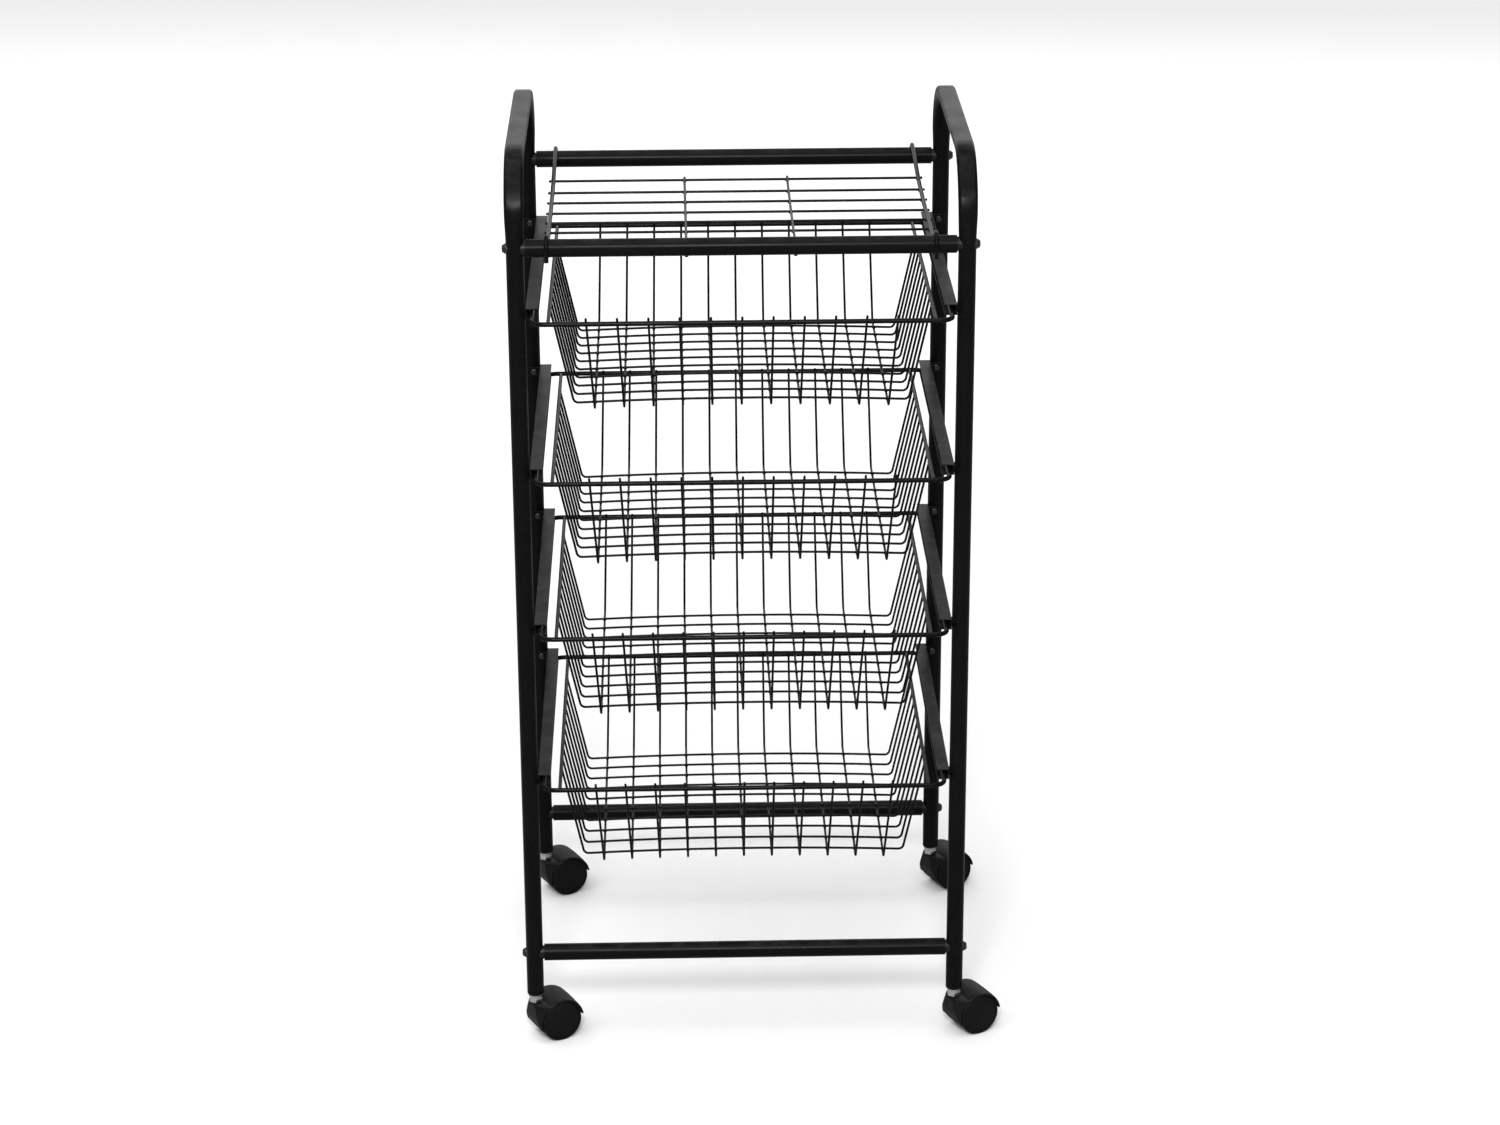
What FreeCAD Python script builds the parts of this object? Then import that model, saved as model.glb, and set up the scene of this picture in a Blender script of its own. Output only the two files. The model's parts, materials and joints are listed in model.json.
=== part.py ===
"""Wire shelf cart: a bent-tube frame on four swivel casters, four pull-out wire
baskets on channel runners and a lift-off wire shelf between the top cross tubes.

Millimetres. X runs to the right, Y to the back, Z up; the origin is on the floor
under the middle of the frame. Baskets are numbered from the top down.
"""
import math
import os

import FreeCAD
import Part

V = FreeCAD.Vector

# Frame tubes
LEG_X = 200.0            # centre of each side frame from the middle plane
LEG_Y = 157.0            # centre of the front and rear legs
TUBE_R = 8.0
TUBE_WALL = 1.1
TOP_FACE_Z = 864.0       # flat upper face of the side frames
FLAT_OUT = 4.8           # flattened face above the tube's centre line
BEND_R = 55.0            # centre-line radius of the side frame's bends
FLATTEN_START_Z = 792.0  # the legs are round below this height
FLATTEN_END_TURN = 22.0  # degrees into the bend where the section is fully flat
LEG_BOTTOM_Z = 49.2
CROSS_TOP_Z = 784.0
CROSS_BOTTOM_Z = 91.0
CROSS_END_X = 190.6      # cut end of a cross tube, just short of the leg
PLUG_R = 6.4
PLUG_INNER_X = 176.0
BOLT_R = 2.5
BOLT_HEAD_R = 4.9
BOLT_HEAD_OUT = 3.6      # dome above the leg's surface

# Runners
RUNNER_TOPS = (728.0, 577.0, 426.0, 275.0)
RUNNER_OUT_X = 192.0
RUNNER_WIDTH = 11.0
RUNNER_HEIGHT = 10.0
RUNNER_SHEET = 1.0
RUNNER_END_Y = 156.0
LUG_OUT_X = 204.0
LUG_FACE_Y = LEG_Y - TUBE_R
SCREW_X = 198.0
SCREW_R = 1.7
SCREW_HEAD_R = 3.2
SCREW_HEAD_H = 2.0

# Baskets, measured from the centre of the rim wire
RIM_R = 2.2
RIM_DROP = 6.5           # rim centre below the runner's upper face
BASKET_FORWARD = (4.0, 0.0, -2.0, -2.0)  # how far each basket stands forward at rest
RIM_X = 186.5
RIM_FRONT_Y = -179.0
RIM_REAR_Y = 145.0
RIM_CORNER_R = 11.0
RAIL_X = 171.5
RAIL_R = 1.7
WIRE_R = 1.1
WIRE_BEND_R = 5.0
CROSS_WIRES = 10
CROSS_PITCH = 24.5
CROSS_FIRST_Y = -125.5
FLOOR_X = 151.4          # where a cross wire turns from the side to the floor
FLOOR_Z = -90.3
CROWN = 3.0              # rise of the basket floor in the middle
LONG_PAIRS = 5           # long wires on each side of the middle one
LONG_PITCH_FRONT = 27.6
LONG_PITCH_FLOOR = 26.5
LONG_PITCH_REAR = 26.0
LONG_FRONT_Y = -138.5
LONG_REAR_Y = 120.0
LONG_TIP_FRONT = 4.2
LONG_TIP_REAR = 3.2
WELD_BITE = 0.04         # how far two welded wires sink into each other

# Lift-off shelf
SHELF_SIDE_X = 172.0
SHELF_SIDE_R = 2.0
SHELF_BAR_R = 1.2
SHELF_BAR_HALF = 176.0
SHELF_BARS = 7
SHELF_BAR_FIRST_Y = 80.0
SHELF_BAR_PITCH = 32.6
SHELF_FRONT_BAR_Y = -143.6
SHELF_MIDDLE_X = 48.5
HOOK_GAP = 0.3
HOOK_R = TUBE_R + SHELF_SIDE_R + HOOK_GAP
HOOK_TIP_Z = CROSS_TOP_Z - 10.5
SHELF_LOW_Z = CROSS_TOP_Z - 3.8
SHELF_SLOPE_Y = 60.0
SHELF_SLOPE_RISE = 2.6   # side wire above its low run where the rear slope begins
SHELF_DIP_Z = CROSS_TOP_Z - 8.6
SHELF_FRONT_BAR_RISE = 0.69  # side wire above its dip where the front bar touches it

# Casters
CASTER_TURN = 27.0       # trailing direction from +X towards +Y, degrees
CASTER_TRAIL = 19.5
WHEEL_R = 20.0
WHEEL_IN = 3.6
WHEEL_OUT = 17.6
WHEEL_EDGE_R = 2.2
AXLE_R = 2.5
AXLE_HALF = 14.0
HOOD_R = 23.0
HOOD_INNER_R = 20.8
HOOD_HALF = 18.6
HOOD_SKIRT_Z = 23.5      # lower edge of the hood at the trailing end
WEB_HALF = 3.2
NOSE_U = -4.8            # flat nose, ahead of the stem's axis
NOSE_CHIN_Z = 24.0       # below this height the nose slopes back
NOSE_CHIN_BACK = 3.4     # by this much at its lower edge
NOSE_BOTTOM_Z = 13.0
NOSE_HALF_BOTTOM = 13.5  # half width of the nose at its lower edge
NOSE_HALF_TOP = 8.0      # and at the height of the hood's top
BOSS_TOP_Z = 39.0
BOSS_R = 6.2
STEM_R = 4.0
STEM_FIT = 0.06
STEM_BOTTOM_Z = 25.0
STEM_TOP_Z = 66.0
NUT_FLATS = 12.0
NUT_BOTTOM_Z = 39.4
NUT_TOP_Z = 45.4
WASHER_R = 6.8
INSERT_LIP_Z = 47.2
INSERT_R = TUBE_R - TUBE_WALL - 0.05
INSERT_TOP_Z = 68.0
CASTERS = {
    "front_left": (-LEG_X, -LEG_Y),
    "front_right": (LEG_X, -LEG_Y),
    "rear_left": (-LEG_X, LEG_Y),
    "rear_right": (LEG_X, LEG_Y),
}


def box(x0, x1, y0, y1, z0, z1):
    return Part.makeBox(x1 - x0, y1 - y0, z1 - z0, V(x0, y0, z0))


def rod(start, end, radius):
    return Part.makeCylinder(radius, (end - start).Length, start, end - start)


def polygon_face(points):
    return Part.Face(Part.makePolygon(points + [points[0]]))


def fillet_arc(before, corner, after, radius):
    """The arc that rounds a corner of a path, as start, middle and end points."""
    to_before = (before - corner).normalize()
    to_after = (after - corner).normalize()
    half = to_before.getAngle(to_after) / 2
    reach = radius / math.tan(half)
    bisector = (to_before + to_after).normalize()
    middle = corner + bisector * (radius / math.sin(half) - radius)
    return corner + to_before * reach, middle, corner + to_after * reach


def path_edges(points, radii):
    """Lines through the points, with each inner point rounded to its radius."""
    edges = []
    here = points[0]
    for before, corner, after, radius in zip(points, points[1:], points[2:], radii):
        start, middle, end = fillet_arc(before, corner, after, radius)
        if (start - here).Length > 1e-6:
            edges.append(Part.makeLine(here, start))
        edges.append(Part.Arc(start, middle, end).toShape())
        here = end
    edges.append(Part.makeLine(here, points[-1]))
    return edges


def sweep_wire(edges, radius):
    """A round wire along tangent edges, starting square to the first edge."""
    path = Part.Wire(edges)
    first = edges[0]
    start = first.valueAt(first.FirstParameter)
    direction = first.tangentAt(first.FirstParameter)
    ring = Part.Wire([Part.makeCircle(radius, start, direction)])
    return path.makePipeShell([ring], True, True)


def bent_wire(points, radius, bends):
    if isinstance(bends, (int, float)):
        bends = [bends] * (len(points) - 2)
    return sweep_wire(path_edges(points, bends), radius)


# ---------------------------------------------------------------- side frames

def tube_outline(x, y, z, turn, flat, inset):
    """Cross-section of the tube: a circle at flat 0, with one side flattened at 1.

    turn is the direction of the flattened side in the YZ plane, in radians.
    """
    r = TUBE_R - inset

    def between(round_value, flat_value):
        return round_value + (flat_value - round_value) * flat

    def on_circle(degrees):
        return r * math.cos(math.radians(degrees)), r * math.sin(math.radians(degrees))

    def at(n, w):
        return V(x + w, y + n * math.cos(turn), z + n * math.sin(turn))

    corner_n = between(on_circle(50)[0], FLAT_OUT - inset)
    corner_w = between(on_circle(50)[1], 6.2 - 0.6 * inset)
    shoulder_n = between(on_circle(70)[0], 3.4 - 0.8 * inset)
    shoulder_w = between(on_circle(70)[1], 8.1 - 0.9 * inset)
    side_w = between(r, 8.7 - inset)
    low, high = at(corner_n, -corner_w), at(corner_n, corner_w)
    if flat < 1:
        face = Part.Arc(low, at(between(r, FLAT_OUT - inset), 0), high).toShape()
    else:
        face = Part.makeLine(low, high)
    edges = [
        face,
        Part.Arc(high, at(shoulder_n, shoulder_w), at(0, side_w)).toShape(),
        Part.Arc(at(0, side_w), at(-r, 0), at(0, -side_w)).toShape(),
        Part.Arc(at(0, -side_w), at(shoulder_n, -shoulder_w), low).toShape(),
    ]
    return Part.Wire(edges)


def flatten_sections(x, inset):
    """Sections of the front leg from round to flat, the last ones inside the bend."""
    bend_z = TOP_FACE_Z - FLAT_OUT - BEND_R
    middle_z = (FLATTEN_START_Z + bend_z) / 2
    sections = [
        tube_outline(x, -LEG_Y, FLATTEN_START_Z, math.pi, 0.0, inset),
        tube_outline(x, -LEG_Y, middle_z, math.pi, 0.25, inset),
        tube_outline(x, -LEG_Y, bend_z, math.pi, 0.55, inset),
    ]
    for share, flat in ((0.5, 0.85), (1.0, 1.0)):
        turned = math.radians(FLATTEN_END_TURN * share)
        y = -LEG_Y + BEND_R * (1 - math.cos(turned))
        z = bend_z + BEND_R * math.sin(turned)
        sections.append(tube_outline(x, y, z, math.pi - turned, flat, inset))
    return sections


def side_frame_core(x, inset, bottom_z):
    """The solid inside one skin of a side frame, from a leg's foot to the other's."""
    centre_z = TOP_FACE_Z - FLAT_OUT
    bend_z = centre_z - BEND_R
    bend_y = LEG_Y - BEND_R
    leg = rod(V(x, -LEG_Y, bottom_z), V(x, -LEG_Y, FLATTEN_START_Z), TUBE_R - inset)
    sections = flatten_sections(x, inset)
    taper = Part.makeLoft(sections, True, False)
    rest = FLATTEN_END_TURN - 90
    bend = Part.Face(sections[-1]).revolve(V(x, -bend_y, bend_z), V(1, 0, 0), rest)
    half = leg.fuse([taper, bend])
    other = half.mirror(V(x, 0, 0), V(0, 1, 0))
    bar_end = Part.Face(tube_outline(x, -bend_y, centre_z, math.pi / 2, 1.0, inset))
    bar = bar_end.extrude(V(0, 2 * bend_y, 0))
    return half.fuse([bar, other]).removeSplitter()


def side_frame(side):
    x = side * LEG_X
    tube = side_frame_core(x, 0.0, LEG_BOTTOM_Z)
    tube = tube.cut(side_frame_core(x, TUBE_WALL, LEG_BOTTOM_Z - 5))
    holes = []
    for y in (-LEG_Y, LEG_Y):
        for z in (CROSS_TOP_Z, CROSS_BOTTOM_Z):
            holes.append(rod(V(x - 12, y, z), V(x + 12, y, z), BOLT_R + 0.05))
        inward = -math.copysign(1, y)
        for top in RUNNER_TOPS:
            z = top - RUNNER_HEIGHT / 2
            start = V(side * SCREW_X, y, z)
            holes.append(rod(start, start + V(0, inward * 12, 0), SCREW_R + 0.05))
    return tube.cut(holes)


# ---------------------------------------------------------------- cross tubes

def cross_tube(y, z):
    outer = rod(V(-CROSS_END_X, y, z), V(CROSS_END_X, y, z), TUBE_R)
    inner_r = TUBE_R - TUBE_WALL
    return outer.cut(rod(V(-CROSS_END_X - 1, y, z), V(CROSS_END_X + 1, y, z), inner_r))


def cross_tube_ends():
    for y in (-LEG_Y, LEG_Y):
        for z in (CROSS_TOP_Z, CROSS_BOTTOM_Z):
            for side in (-1, 1):
                yield side, y, z


def leg_skin(side, y, z):
    return rod(V(side * LEG_X, y, z - 12), V(side * LEG_X, y, z + 12), TUBE_R)


def end_plug(side, y, z):
    """The plug in a cross tube's end, saddle-cut to sit against the leg."""
    inner_r = TUBE_R - TUBE_WALL
    body = rod(V(side * PLUG_INNER_X, y, z), V(side * CROSS_END_X, y, z), inner_r)
    collar = rod(V(side * CROSS_END_X, y, z), V(side * LEG_X, y, z), PLUG_R)
    thread = rod(V(side * (PLUG_INNER_X + 2), y, z), V(side * LEG_X, y, z), BOLT_R)
    return body.fuse(collar).cut([leg_skin(side, y, z), thread]).removeSplitter()


def cross_bolt(side, y, z):
    """A dome-headed bolt through the leg into the plug, its head saddled on the tube."""
    face_x = LEG_X + TUBE_R - 1.6
    out_x = LEG_X + TUBE_R + BOLT_HEAD_OUT
    height = out_x - face_x
    dome_r = (BOLT_HEAD_R ** 2 + height ** 2) / (2 * height) + 0.6
    centre = V(side * (out_x - dome_r), y, z)
    blank = rod(V(side * face_x, y, z), V(side * out_x, y, z), BOLT_HEAD_R)
    head = blank.common(Part.makeSphere(dome_r, centre)).cut(leg_skin(side, y, z))
    shank = rod(V(side * (PLUG_INNER_X + 3), y, z), V(side * (face_x + 2), y, z), BOLT_R)
    key_end = V(side * (out_x + 1), y, z)
    key = hexagon_prism(V(side * (out_x - 1.8), y, z), key_end, 3.0)
    return head.fuse(shank).removeSplitter().cut(key)


def hexagon_prism(start, end, flats):
    """A hexagonal prism between two points, by the distance across its flats."""
    axis = (end - start)
    across = axis.cross(V(0, 0, 1))
    if across.Length < 1e-6:
        across = V(1, 0, 0)
    across.normalize()
    third = FreeCAD.Vector(axis).normalize().cross(across)
    corner_r = flats / 2 / math.cos(math.pi / 6)
    points = []
    for k in range(6):
        a = math.pi / 6 + k * math.pi / 3
        points.append(start + (across * math.cos(a) + third * math.sin(a)) * corner_r)
    return polygon_face(points).extrude(axis)


# -------------------------------------------------------------------- runners

def runner(side, top):
    """A channel open to the inside, with a screw lug against each leg."""
    out_x, in_x = RUNNER_OUT_X, RUNNER_OUT_X - RUNNER_WIDTH
    bottom, t = top - RUNNER_HEIGHT, RUNNER_SHEET
    y = RUNNER_END_Y
    outside = box(in_x, out_x, -y, y, bottom, top)
    hollow = box(in_x - 1, out_x - t, -y - 1, y + 1, bottom + t, top - t)
    channel = outside.cut(hollow)
    z = top - RUNNER_HEIGHT / 2
    lugs = []
    for end in (-1, 1):
        y0, y1 = sorted((end * (LUG_FACE_Y - t), end * LUG_FACE_Y))
        lug = box(out_x - t, LUG_OUT_X, y0, y1, bottom + 0.5, top - 0.5)
        hole = rod(V(SCREW_X, y0 - 1, z), V(SCREW_X, y1 + 1, z), SCREW_R + 0.05)
        lugs.append(lug.cut(hole))
    shape = channel.fuse(lugs).removeSplitter()
    return shape if side > 0 else shape.mirror(V(0, 0, 0), V(1, 0, 0))


def runner_screw(side, end, top):
    """Pan-head screw through a runner's lug into the leg."""
    x, z = side * SCREW_X, top - RUNNER_HEIGHT / 2
    face = end * (LUG_FACE_Y - RUNNER_SHEET)
    head = rod(V(x, face - end * SCREW_HEAD_H, z), V(x, face, z), SCREW_HEAD_R)
    rim = [e for e in head.Edges if abs(e.CenterOfMass.y - face + end * SCREW_HEAD_H) < 0.01]
    head = head.makeFillet(1.0, [e for e in rim if e.Closed])
    shank = rod(V(x, face, z), V(x, end * (LUG_FACE_Y + 6), z), SCREW_R)
    return head.fuse(shank).removeSplitter()


# -------------------------------------------------------------------- baskets

def rim_loop():
    x, r = RIM_X, RIM_CORNER_R
    front, rear = RIM_FRONT_Y, RIM_REAR_Y
    corners = [V(x, front, 0), V(x, rear, 0), V(-x, rear, 0), V(-x, front, 0)]
    start = V(0, front, 0)
    return bent_wire([start] + corners + [start], RIM_R, r)


def side_rails(rim):
    rails = []
    for side in (-1, 1):
        x = side * RAIL_X
        rails.append(rod(V(x, RIM_FRONT_Y, 0), V(x, RIM_REAR_Y, 0), RAIL_R).cut(rim))
    return rails


def floor_arc():
    """Radius of the crowned floor and its angle at the corner, from the crown."""
    radius = (FLOOR_X ** 2 + CROWN ** 2) / (2 * CROWN)
    return radius, math.asin(FLOOR_X / radius)


def floor_z(x):
    radius, _ = floor_arc()
    return FLOOR_Z + CROWN - radius + math.sqrt(radius ** 2 - x ** 2)


def cross_wire(y, rails):
    """A U of wire from one side rail down, across the crowned floor and up again."""
    _, tilt = floor_arc()
    top = V(-RAIL_X, y, 0)
    corner = V(-FLOOR_X, y, FLOOR_Z)
    inward = corner + V(math.cos(tilt), 0, math.sin(tilt)) * 40
    start, middle, end = fillet_arc(top, corner, inward, WIRE_BEND_R)
    radius = -end.x / math.sin(tilt)
    apex = V(0, y, end.z + radius - radius * math.cos(tilt))

    def flip(p):
        return V(-p.x, p.y, p.z)

    edges = [
        Part.makeLine(top, start),
        Part.Arc(start, middle, end).toShape(),
        Part.Arc(end, apex, flip(end)).toShape(),
        Part.Arc(flip(end), flip(middle), flip(start)).toShape(),
        Part.makeLine(flip(start), flip(top)),
    ]
    return sweep_wire(edges, WIRE_R).cut(rails)


def rim_side_y(corner_y, corner_z, rim_y):
    """Where a slanting wire crosses rim height when it touches the rim's inside."""
    reach = RIM_R + WIRE_R - WELD_BITE
    slant = math.atan2(abs(rim_y - corner_y), abs(corner_z))
    return rim_y - math.copysign(reach / math.cos(slant), rim_y)


def long_wire(k):
    """A wire from the front rim, down, along the floor and up to the rear rim."""
    z = floor_z(k * LONG_PITCH_FLOOR) - 2 * WIRE_R + WELD_BITE
    x = k * LONG_PITCH_FLOOR
    points = [V(x, LONG_FRONT_Y, z), V(x, LONG_REAR_Y, z)]
    ends = []
    for corner, rim_y, pitch, tip in (
        (points[0], RIM_FRONT_Y, LONG_PITCH_FRONT, LONG_TIP_FRONT),
        (points[1], RIM_REAR_Y, LONG_PITCH_REAR, LONG_TIP_REAR),
    ):
        level = V(k * pitch, rim_side_y(corner.y, z, rim_y), 0)
        ends.append(corner + (level - corner) * ((tip - z) / -z))
    return bent_wire([ends[0]] + points + [ends[1]], WIRE_R, WIRE_BEND_R)


def basket():
    """The four groups of wires of one basket, about the rim's height."""
    rim = rim_loop()
    rails = side_rails(rim)
    rows = range(CROSS_WIRES)
    cross = [cross_wire(CROSS_FIRST_Y + i * CROSS_PITCH, rails) for i in rows]
    long = [long_wire(k) for k in range(-LONG_PAIRS, LONG_PAIRS + 1)]
    return {"rim": [rim], "side_rails": rails, "cross_wires": cross, "long_wires": long}


# ---------------------------------------------------------------------- shelf

def shelf_profile():
    """Centre line of a shelf side wire in YZ, and the radius at each inner point."""
    tube_y = LEG_Y
    slope_y, slope_z = SHELF_SLOPE_Y, SHELF_LOW_Z + SHELF_SLOPE_RISE
    away = math.hypot(tube_y - slope_y, CROSS_TOP_Z - slope_z)
    rise = math.asin(HOOK_R / away) + math.atan2(CROSS_TOP_Z - slope_z, tube_y - slope_y)
    back_y = tube_y + HOOK_R
    back_z = slope_z + (back_y - slope_y) * math.tan(rise)
    front_in, front_out = -tube_y + HOOK_R, -tube_y - HOOK_R
    top_z = CROSS_TOP_Z + HOOK_R
    points = [
        (back_y, HOOK_TIP_Z), (back_y, back_z), (slope_y, slope_z),
        (-20.0, SHELF_LOW_Z), (-126.0, SHELF_LOW_Z), (front_in, SHELF_DIP_Z),
        (front_in, top_z), (front_out, top_z), (front_out, HOOK_TIP_Z),
    ]
    return points, [HOOK_R, 60.0, 60.0, 14.0, 2.6, HOOK_R - 0.001, HOOK_R - 0.001]


def shelf_side_wire(side):
    points, bends = shelf_profile()
    return bent_wire([V(side * SHELF_SIDE_X, y, z) for y, z in points], SHELF_SIDE_R, bends)


def shelf_side_z(y):
    """Height of a side wire's centre line at y, between the hooks."""
    points = shelf_profile()[0][1:6]
    for (y1, z1), (y0, z0) in zip(points, points[1:]):
        if y0 <= y <= y1:
            return z0 + (z1 - z0) * (y - y0) / (y1 - y0)
    raise ValueError("y is outside the shelf")


def shelf_bar_places():
    drop = SHELF_SIDE_R + SHELF_BAR_R - WELD_BITE
    rows = [SHELF_BAR_FIRST_Y - i * SHELF_BAR_PITCH for i in range(SHELF_BARS)]
    places = [(y, shelf_side_z(y) - drop) for y in rows]
    return places + [(SHELF_FRONT_BAR_Y, SHELF_DIP_Z + SHELF_FRONT_BAR_RISE - drop)]


def shelf_bar(y, z):
    return rod(V(-SHELF_BAR_HALF, y, z), V(SHELF_BAR_HALF, y, z), SHELF_BAR_R)


def shelf_middle_wire(side):
    """A thin wire lying on the cross bars, welded to each of them."""
    lift = 2 * SHELF_BAR_R - WELD_BITE
    x = side * SHELF_MIDDLE_X
    low = SHELF_LOW_Z - SHELF_SIDE_R - SHELF_BAR_R + WELD_BITE
    places = shelf_bar_places()
    first, last = places[0], places[-1]
    points = [
        V(x, first[0], first[1] + lift),
        V(x, SHELF_SLOPE_Y, low + SHELF_SLOPE_RISE + lift),
        V(x, -20.0, low + lift),
        V(x, -118.0, low + lift),
        V(x, last[0], last[1] + lift),
    ]
    return bent_wire(points, SHELF_BAR_R, [60.0, 60.0, 14.0])


# -------------------------------------------------------------------- casters
# Built with the stem's axis on Z, the wheels trailing towards +X and the axle
# along Y, then turned and moved to a leg.

def place_caster(shape, x, y):
    shape = shape.copy()
    shape.rotate(V(0, 0, 0), V(0, 0, 1), CASTER_TURN)
    shape.translate(V(x, y, 0))
    return shape


def axle_rod(y0, y1, radius):
    return rod(V(CASTER_TRAIL, y0, WHEEL_R), V(CASTER_TRAIL, y1, WHEEL_R), radius)


def hood_plan(z, nose_half, full_u):
    """Outline of the hood from above: a narrower nose widening to the fender."""
    half, tail = HOOD_HALF, CASTER_TRAIL + HOOD_R + 5
    corners = [
        (NOSE_U, -nose_half), (full_u, -half), (tail, -half),
        (tail, half), (full_u, half), (NOSE_U, nose_half),
    ]
    return Part.makePolygon([V(u, v, z) for u, v in corners + corners[:1]])


def hood():
    """The moulded hood: fender over both wheels, nose, central web and stem boss."""
    half, u, top = HOOD_HALF, NOSE_U, BOSS_TOP_Z
    nose_back = CASTER_TRAIL - 8
    side = [
        V(u + NOSE_CHIN_BACK, -half, NOSE_BOTTOM_Z), V(u, -half, NOSE_CHIN_Z),
        V(u, -half, top - 3.5), V(u + 2.6, -half, top),
        V(nose_back, -half, top), V(nose_back, -half, NOSE_BOTTOM_Z),
    ]
    nose = polygon_face(side).extrude(V(0, 2 * half, 0))
    body = axle_rod(-half, half, HOOD_R).fuse(nose)
    widest = half + 1
    body = body.cut(box(-60, 60, -widest, widest, -5, NOSE_BOTTOM_Z))
    body = body.cut(box(nose_back, 60, -widest, widest, 0, HOOD_SKIRT_Z))
    low = hood_plan(NOSE_BOTTOM_Z, NOSE_HALF_BOTTOM, 4.5)
    high = hood_plan(WHEEL_R + HOOD_R + 1, NOSE_HALF_TOP, 10.0)
    body = body.common(Part.makeLoft([low, high], True, True))
    for y0, y1 in ((-widest, -WEB_HALF), (WEB_HALF, widest)):
        body = body.cut(axle_rod(y0, y1, HOOD_INNER_R))
    hub = axle_rod(-WEB_HALF, WEB_HALF, 12.0)
    neck = box(u, CASTER_TRAIL + 14, -WEB_HALF, WEB_HALF, WHEEL_R - 4, WHEEL_R + 18)
    web = hub.fuse(neck).common(axle_rod(-half, half, HOOD_R).fuse(nose))
    boss = rod(V(0, 0, top - 4), V(0, 0, top), BOSS_R)
    boss = boss.cut(box(-60, u, -half, half, 0, 60))
    body = body.fuse([web, boss])
    bore = rod(V(0, 0, STEM_BOTTOM_Z - 1), V(0, 0, 60), STEM_R + STEM_FIT)
    body = body.cut([bore, axle_rod(-WEB_HALF - 1, WEB_HALF + 1, AXLE_R)])
    return body.removeSplitter()


def wheel(side):
    """One solid wheel, bored from its inner face, with a shallow dish outside."""
    disc = axle_rod(side * WHEEL_IN, side * WHEEL_OUT, WHEEL_R)
    rims = [e for e in disc.Edges if e.Closed]
    disc = disc.makeFillet(WHEEL_EDGE_R, rims)
    dish = axle_rod(side * (WHEEL_OUT - 0.8), side * (WHEEL_OUT + 1), WHEEL_R - 3.6)
    bore = axle_rod(0, side * (AXLE_HALF + 0.5), AXLE_R + 0.05)
    return disc.cut([dish, bore])


def stem():
    """The fixed stem with its hexagon, washer and threaded shank."""
    shank = rod(V(0, 0, STEM_BOTTOM_Z), V(0, 0, STEM_TOP_Z), STEM_R)
    nut = hexagon_prism(V(0, 0, NUT_BOTTOM_Z), V(0, 0, NUT_TOP_Z), NUT_FLATS)
    washer = rod(V(0, 0, NUT_TOP_Z), V(0, 0, INSERT_LIP_Z), WASHER_R)
    return shank.fuse([nut, washer]).removeSplitter()


def leg_insert(x, y):
    """The plug in a leg's foot that holds the stem, with a rounded lip below it."""
    plug = rod(V(x, y, LEG_BOTTOM_Z), V(x, y, INSERT_TOP_Z), INSERT_R)
    lip = rod(V(x, y, INSERT_LIP_Z), V(x, y, LEG_BOTTOM_Z), TUBE_R)
    foot = [e for e in lip.Edges if e.Closed and e.CenterOfMass.z < INSERT_LIP_Z + 0.1]
    lip = lip.makeFillet(1.6, foot)
    bore = rod(V(x, y, INSERT_LIP_Z - 1), V(x, y, STEM_TOP_Z), STEM_R)
    return plug.fuse(lip).cut(bore).removeSplitter()


# --------------------------------------------------------------------- output

def solids_of(shapes):
    found = [s for shape in shapes for s in shape.Solids]
    if len(found) != len(shapes):
        raise ValueError("a piece isn't a single solid")
    return found


def export(name, shapes):
    solids = solids_of(shapes)
    for solid in solids:
        if not solid.isValid() or solid.Volume <= 0:
            raise ValueError(name + " has a solid that isn't valid")
    whole = solids[0] if len(solids) == 1 else Part.makeCompound(solids)
    whole.exportStep("parts/" + name + ".step")


def export_frame():
    export("side_frame_left", [side_frame(-1)])
    export("side_frame_right", [side_frame(1)])
    for level, z in (("top", CROSS_TOP_Z), ("bottom", CROSS_BOTTOM_Z)):
        for place, y in (("front", -LEG_Y), ("rear", LEG_Y)):
            export("cross_tube_%s_%s" % (level, place), [cross_tube(y, z)])
    ends = list(cross_tube_ends())
    export("cross_tube_end_plugs", [end_plug(*end) for end in ends])
    export("cross_tube_bolts", [cross_bolt(*end) for end in ends])
    for number, top in enumerate(RUNNER_TOPS, 1):
        export("runner_%d_left" % number, [runner(-1, top)])
        export("runner_%d_right" % number, [runner(1, top)])
    corners = [(side, end) for side in (-1, 1) for end in (-1, 1)]
    screws = [runner_screw(s, e, top) for top in RUNNER_TOPS for s, e in corners]
    export("runner_screws", screws)
    export("leg_end_inserts", [leg_insert(x, y) for x, y in CASTERS.values()])


def export_baskets():
    groups = basket()
    places = zip(RUNNER_TOPS, BASKET_FORWARD)
    for number, (top, forward) in enumerate(places, 1):
        for group, shapes in groups.items():
            moved = [s.translated(V(0, -forward, top - RIM_DROP)) for s in shapes]
            export("basket_%d_%s" % (number, group), moved)


def export_shelf():
    export("shelf_side_wires", [shelf_side_wire(-1), shelf_side_wire(1)])
    export("shelf_cross_bars", [shelf_bar(y, z) for y, z in shelf_bar_places()])
    export("shelf_middle_wires", [shelf_middle_wire(-1), shelf_middle_wire(1)])


def export_casters():
    pieces = {
        "stem": stem(),
        "hood": hood(),
        "axle": axle_rod(-AXLE_HALF, AXLE_HALF, AXLE_R),
        "wheel_near": wheel(-1),
        "wheel_far": wheel(1),
    }
    for corner, (x, y) in CASTERS.items():
        for name, shape in pieces.items():
            export("caster_%s_%s" % (corner, name), [place_caster(shape, x, y)])


os.makedirs("parts", exist_ok=True)
export_frame()
export_baskets()
export_shelf()
export_casters()
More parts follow.
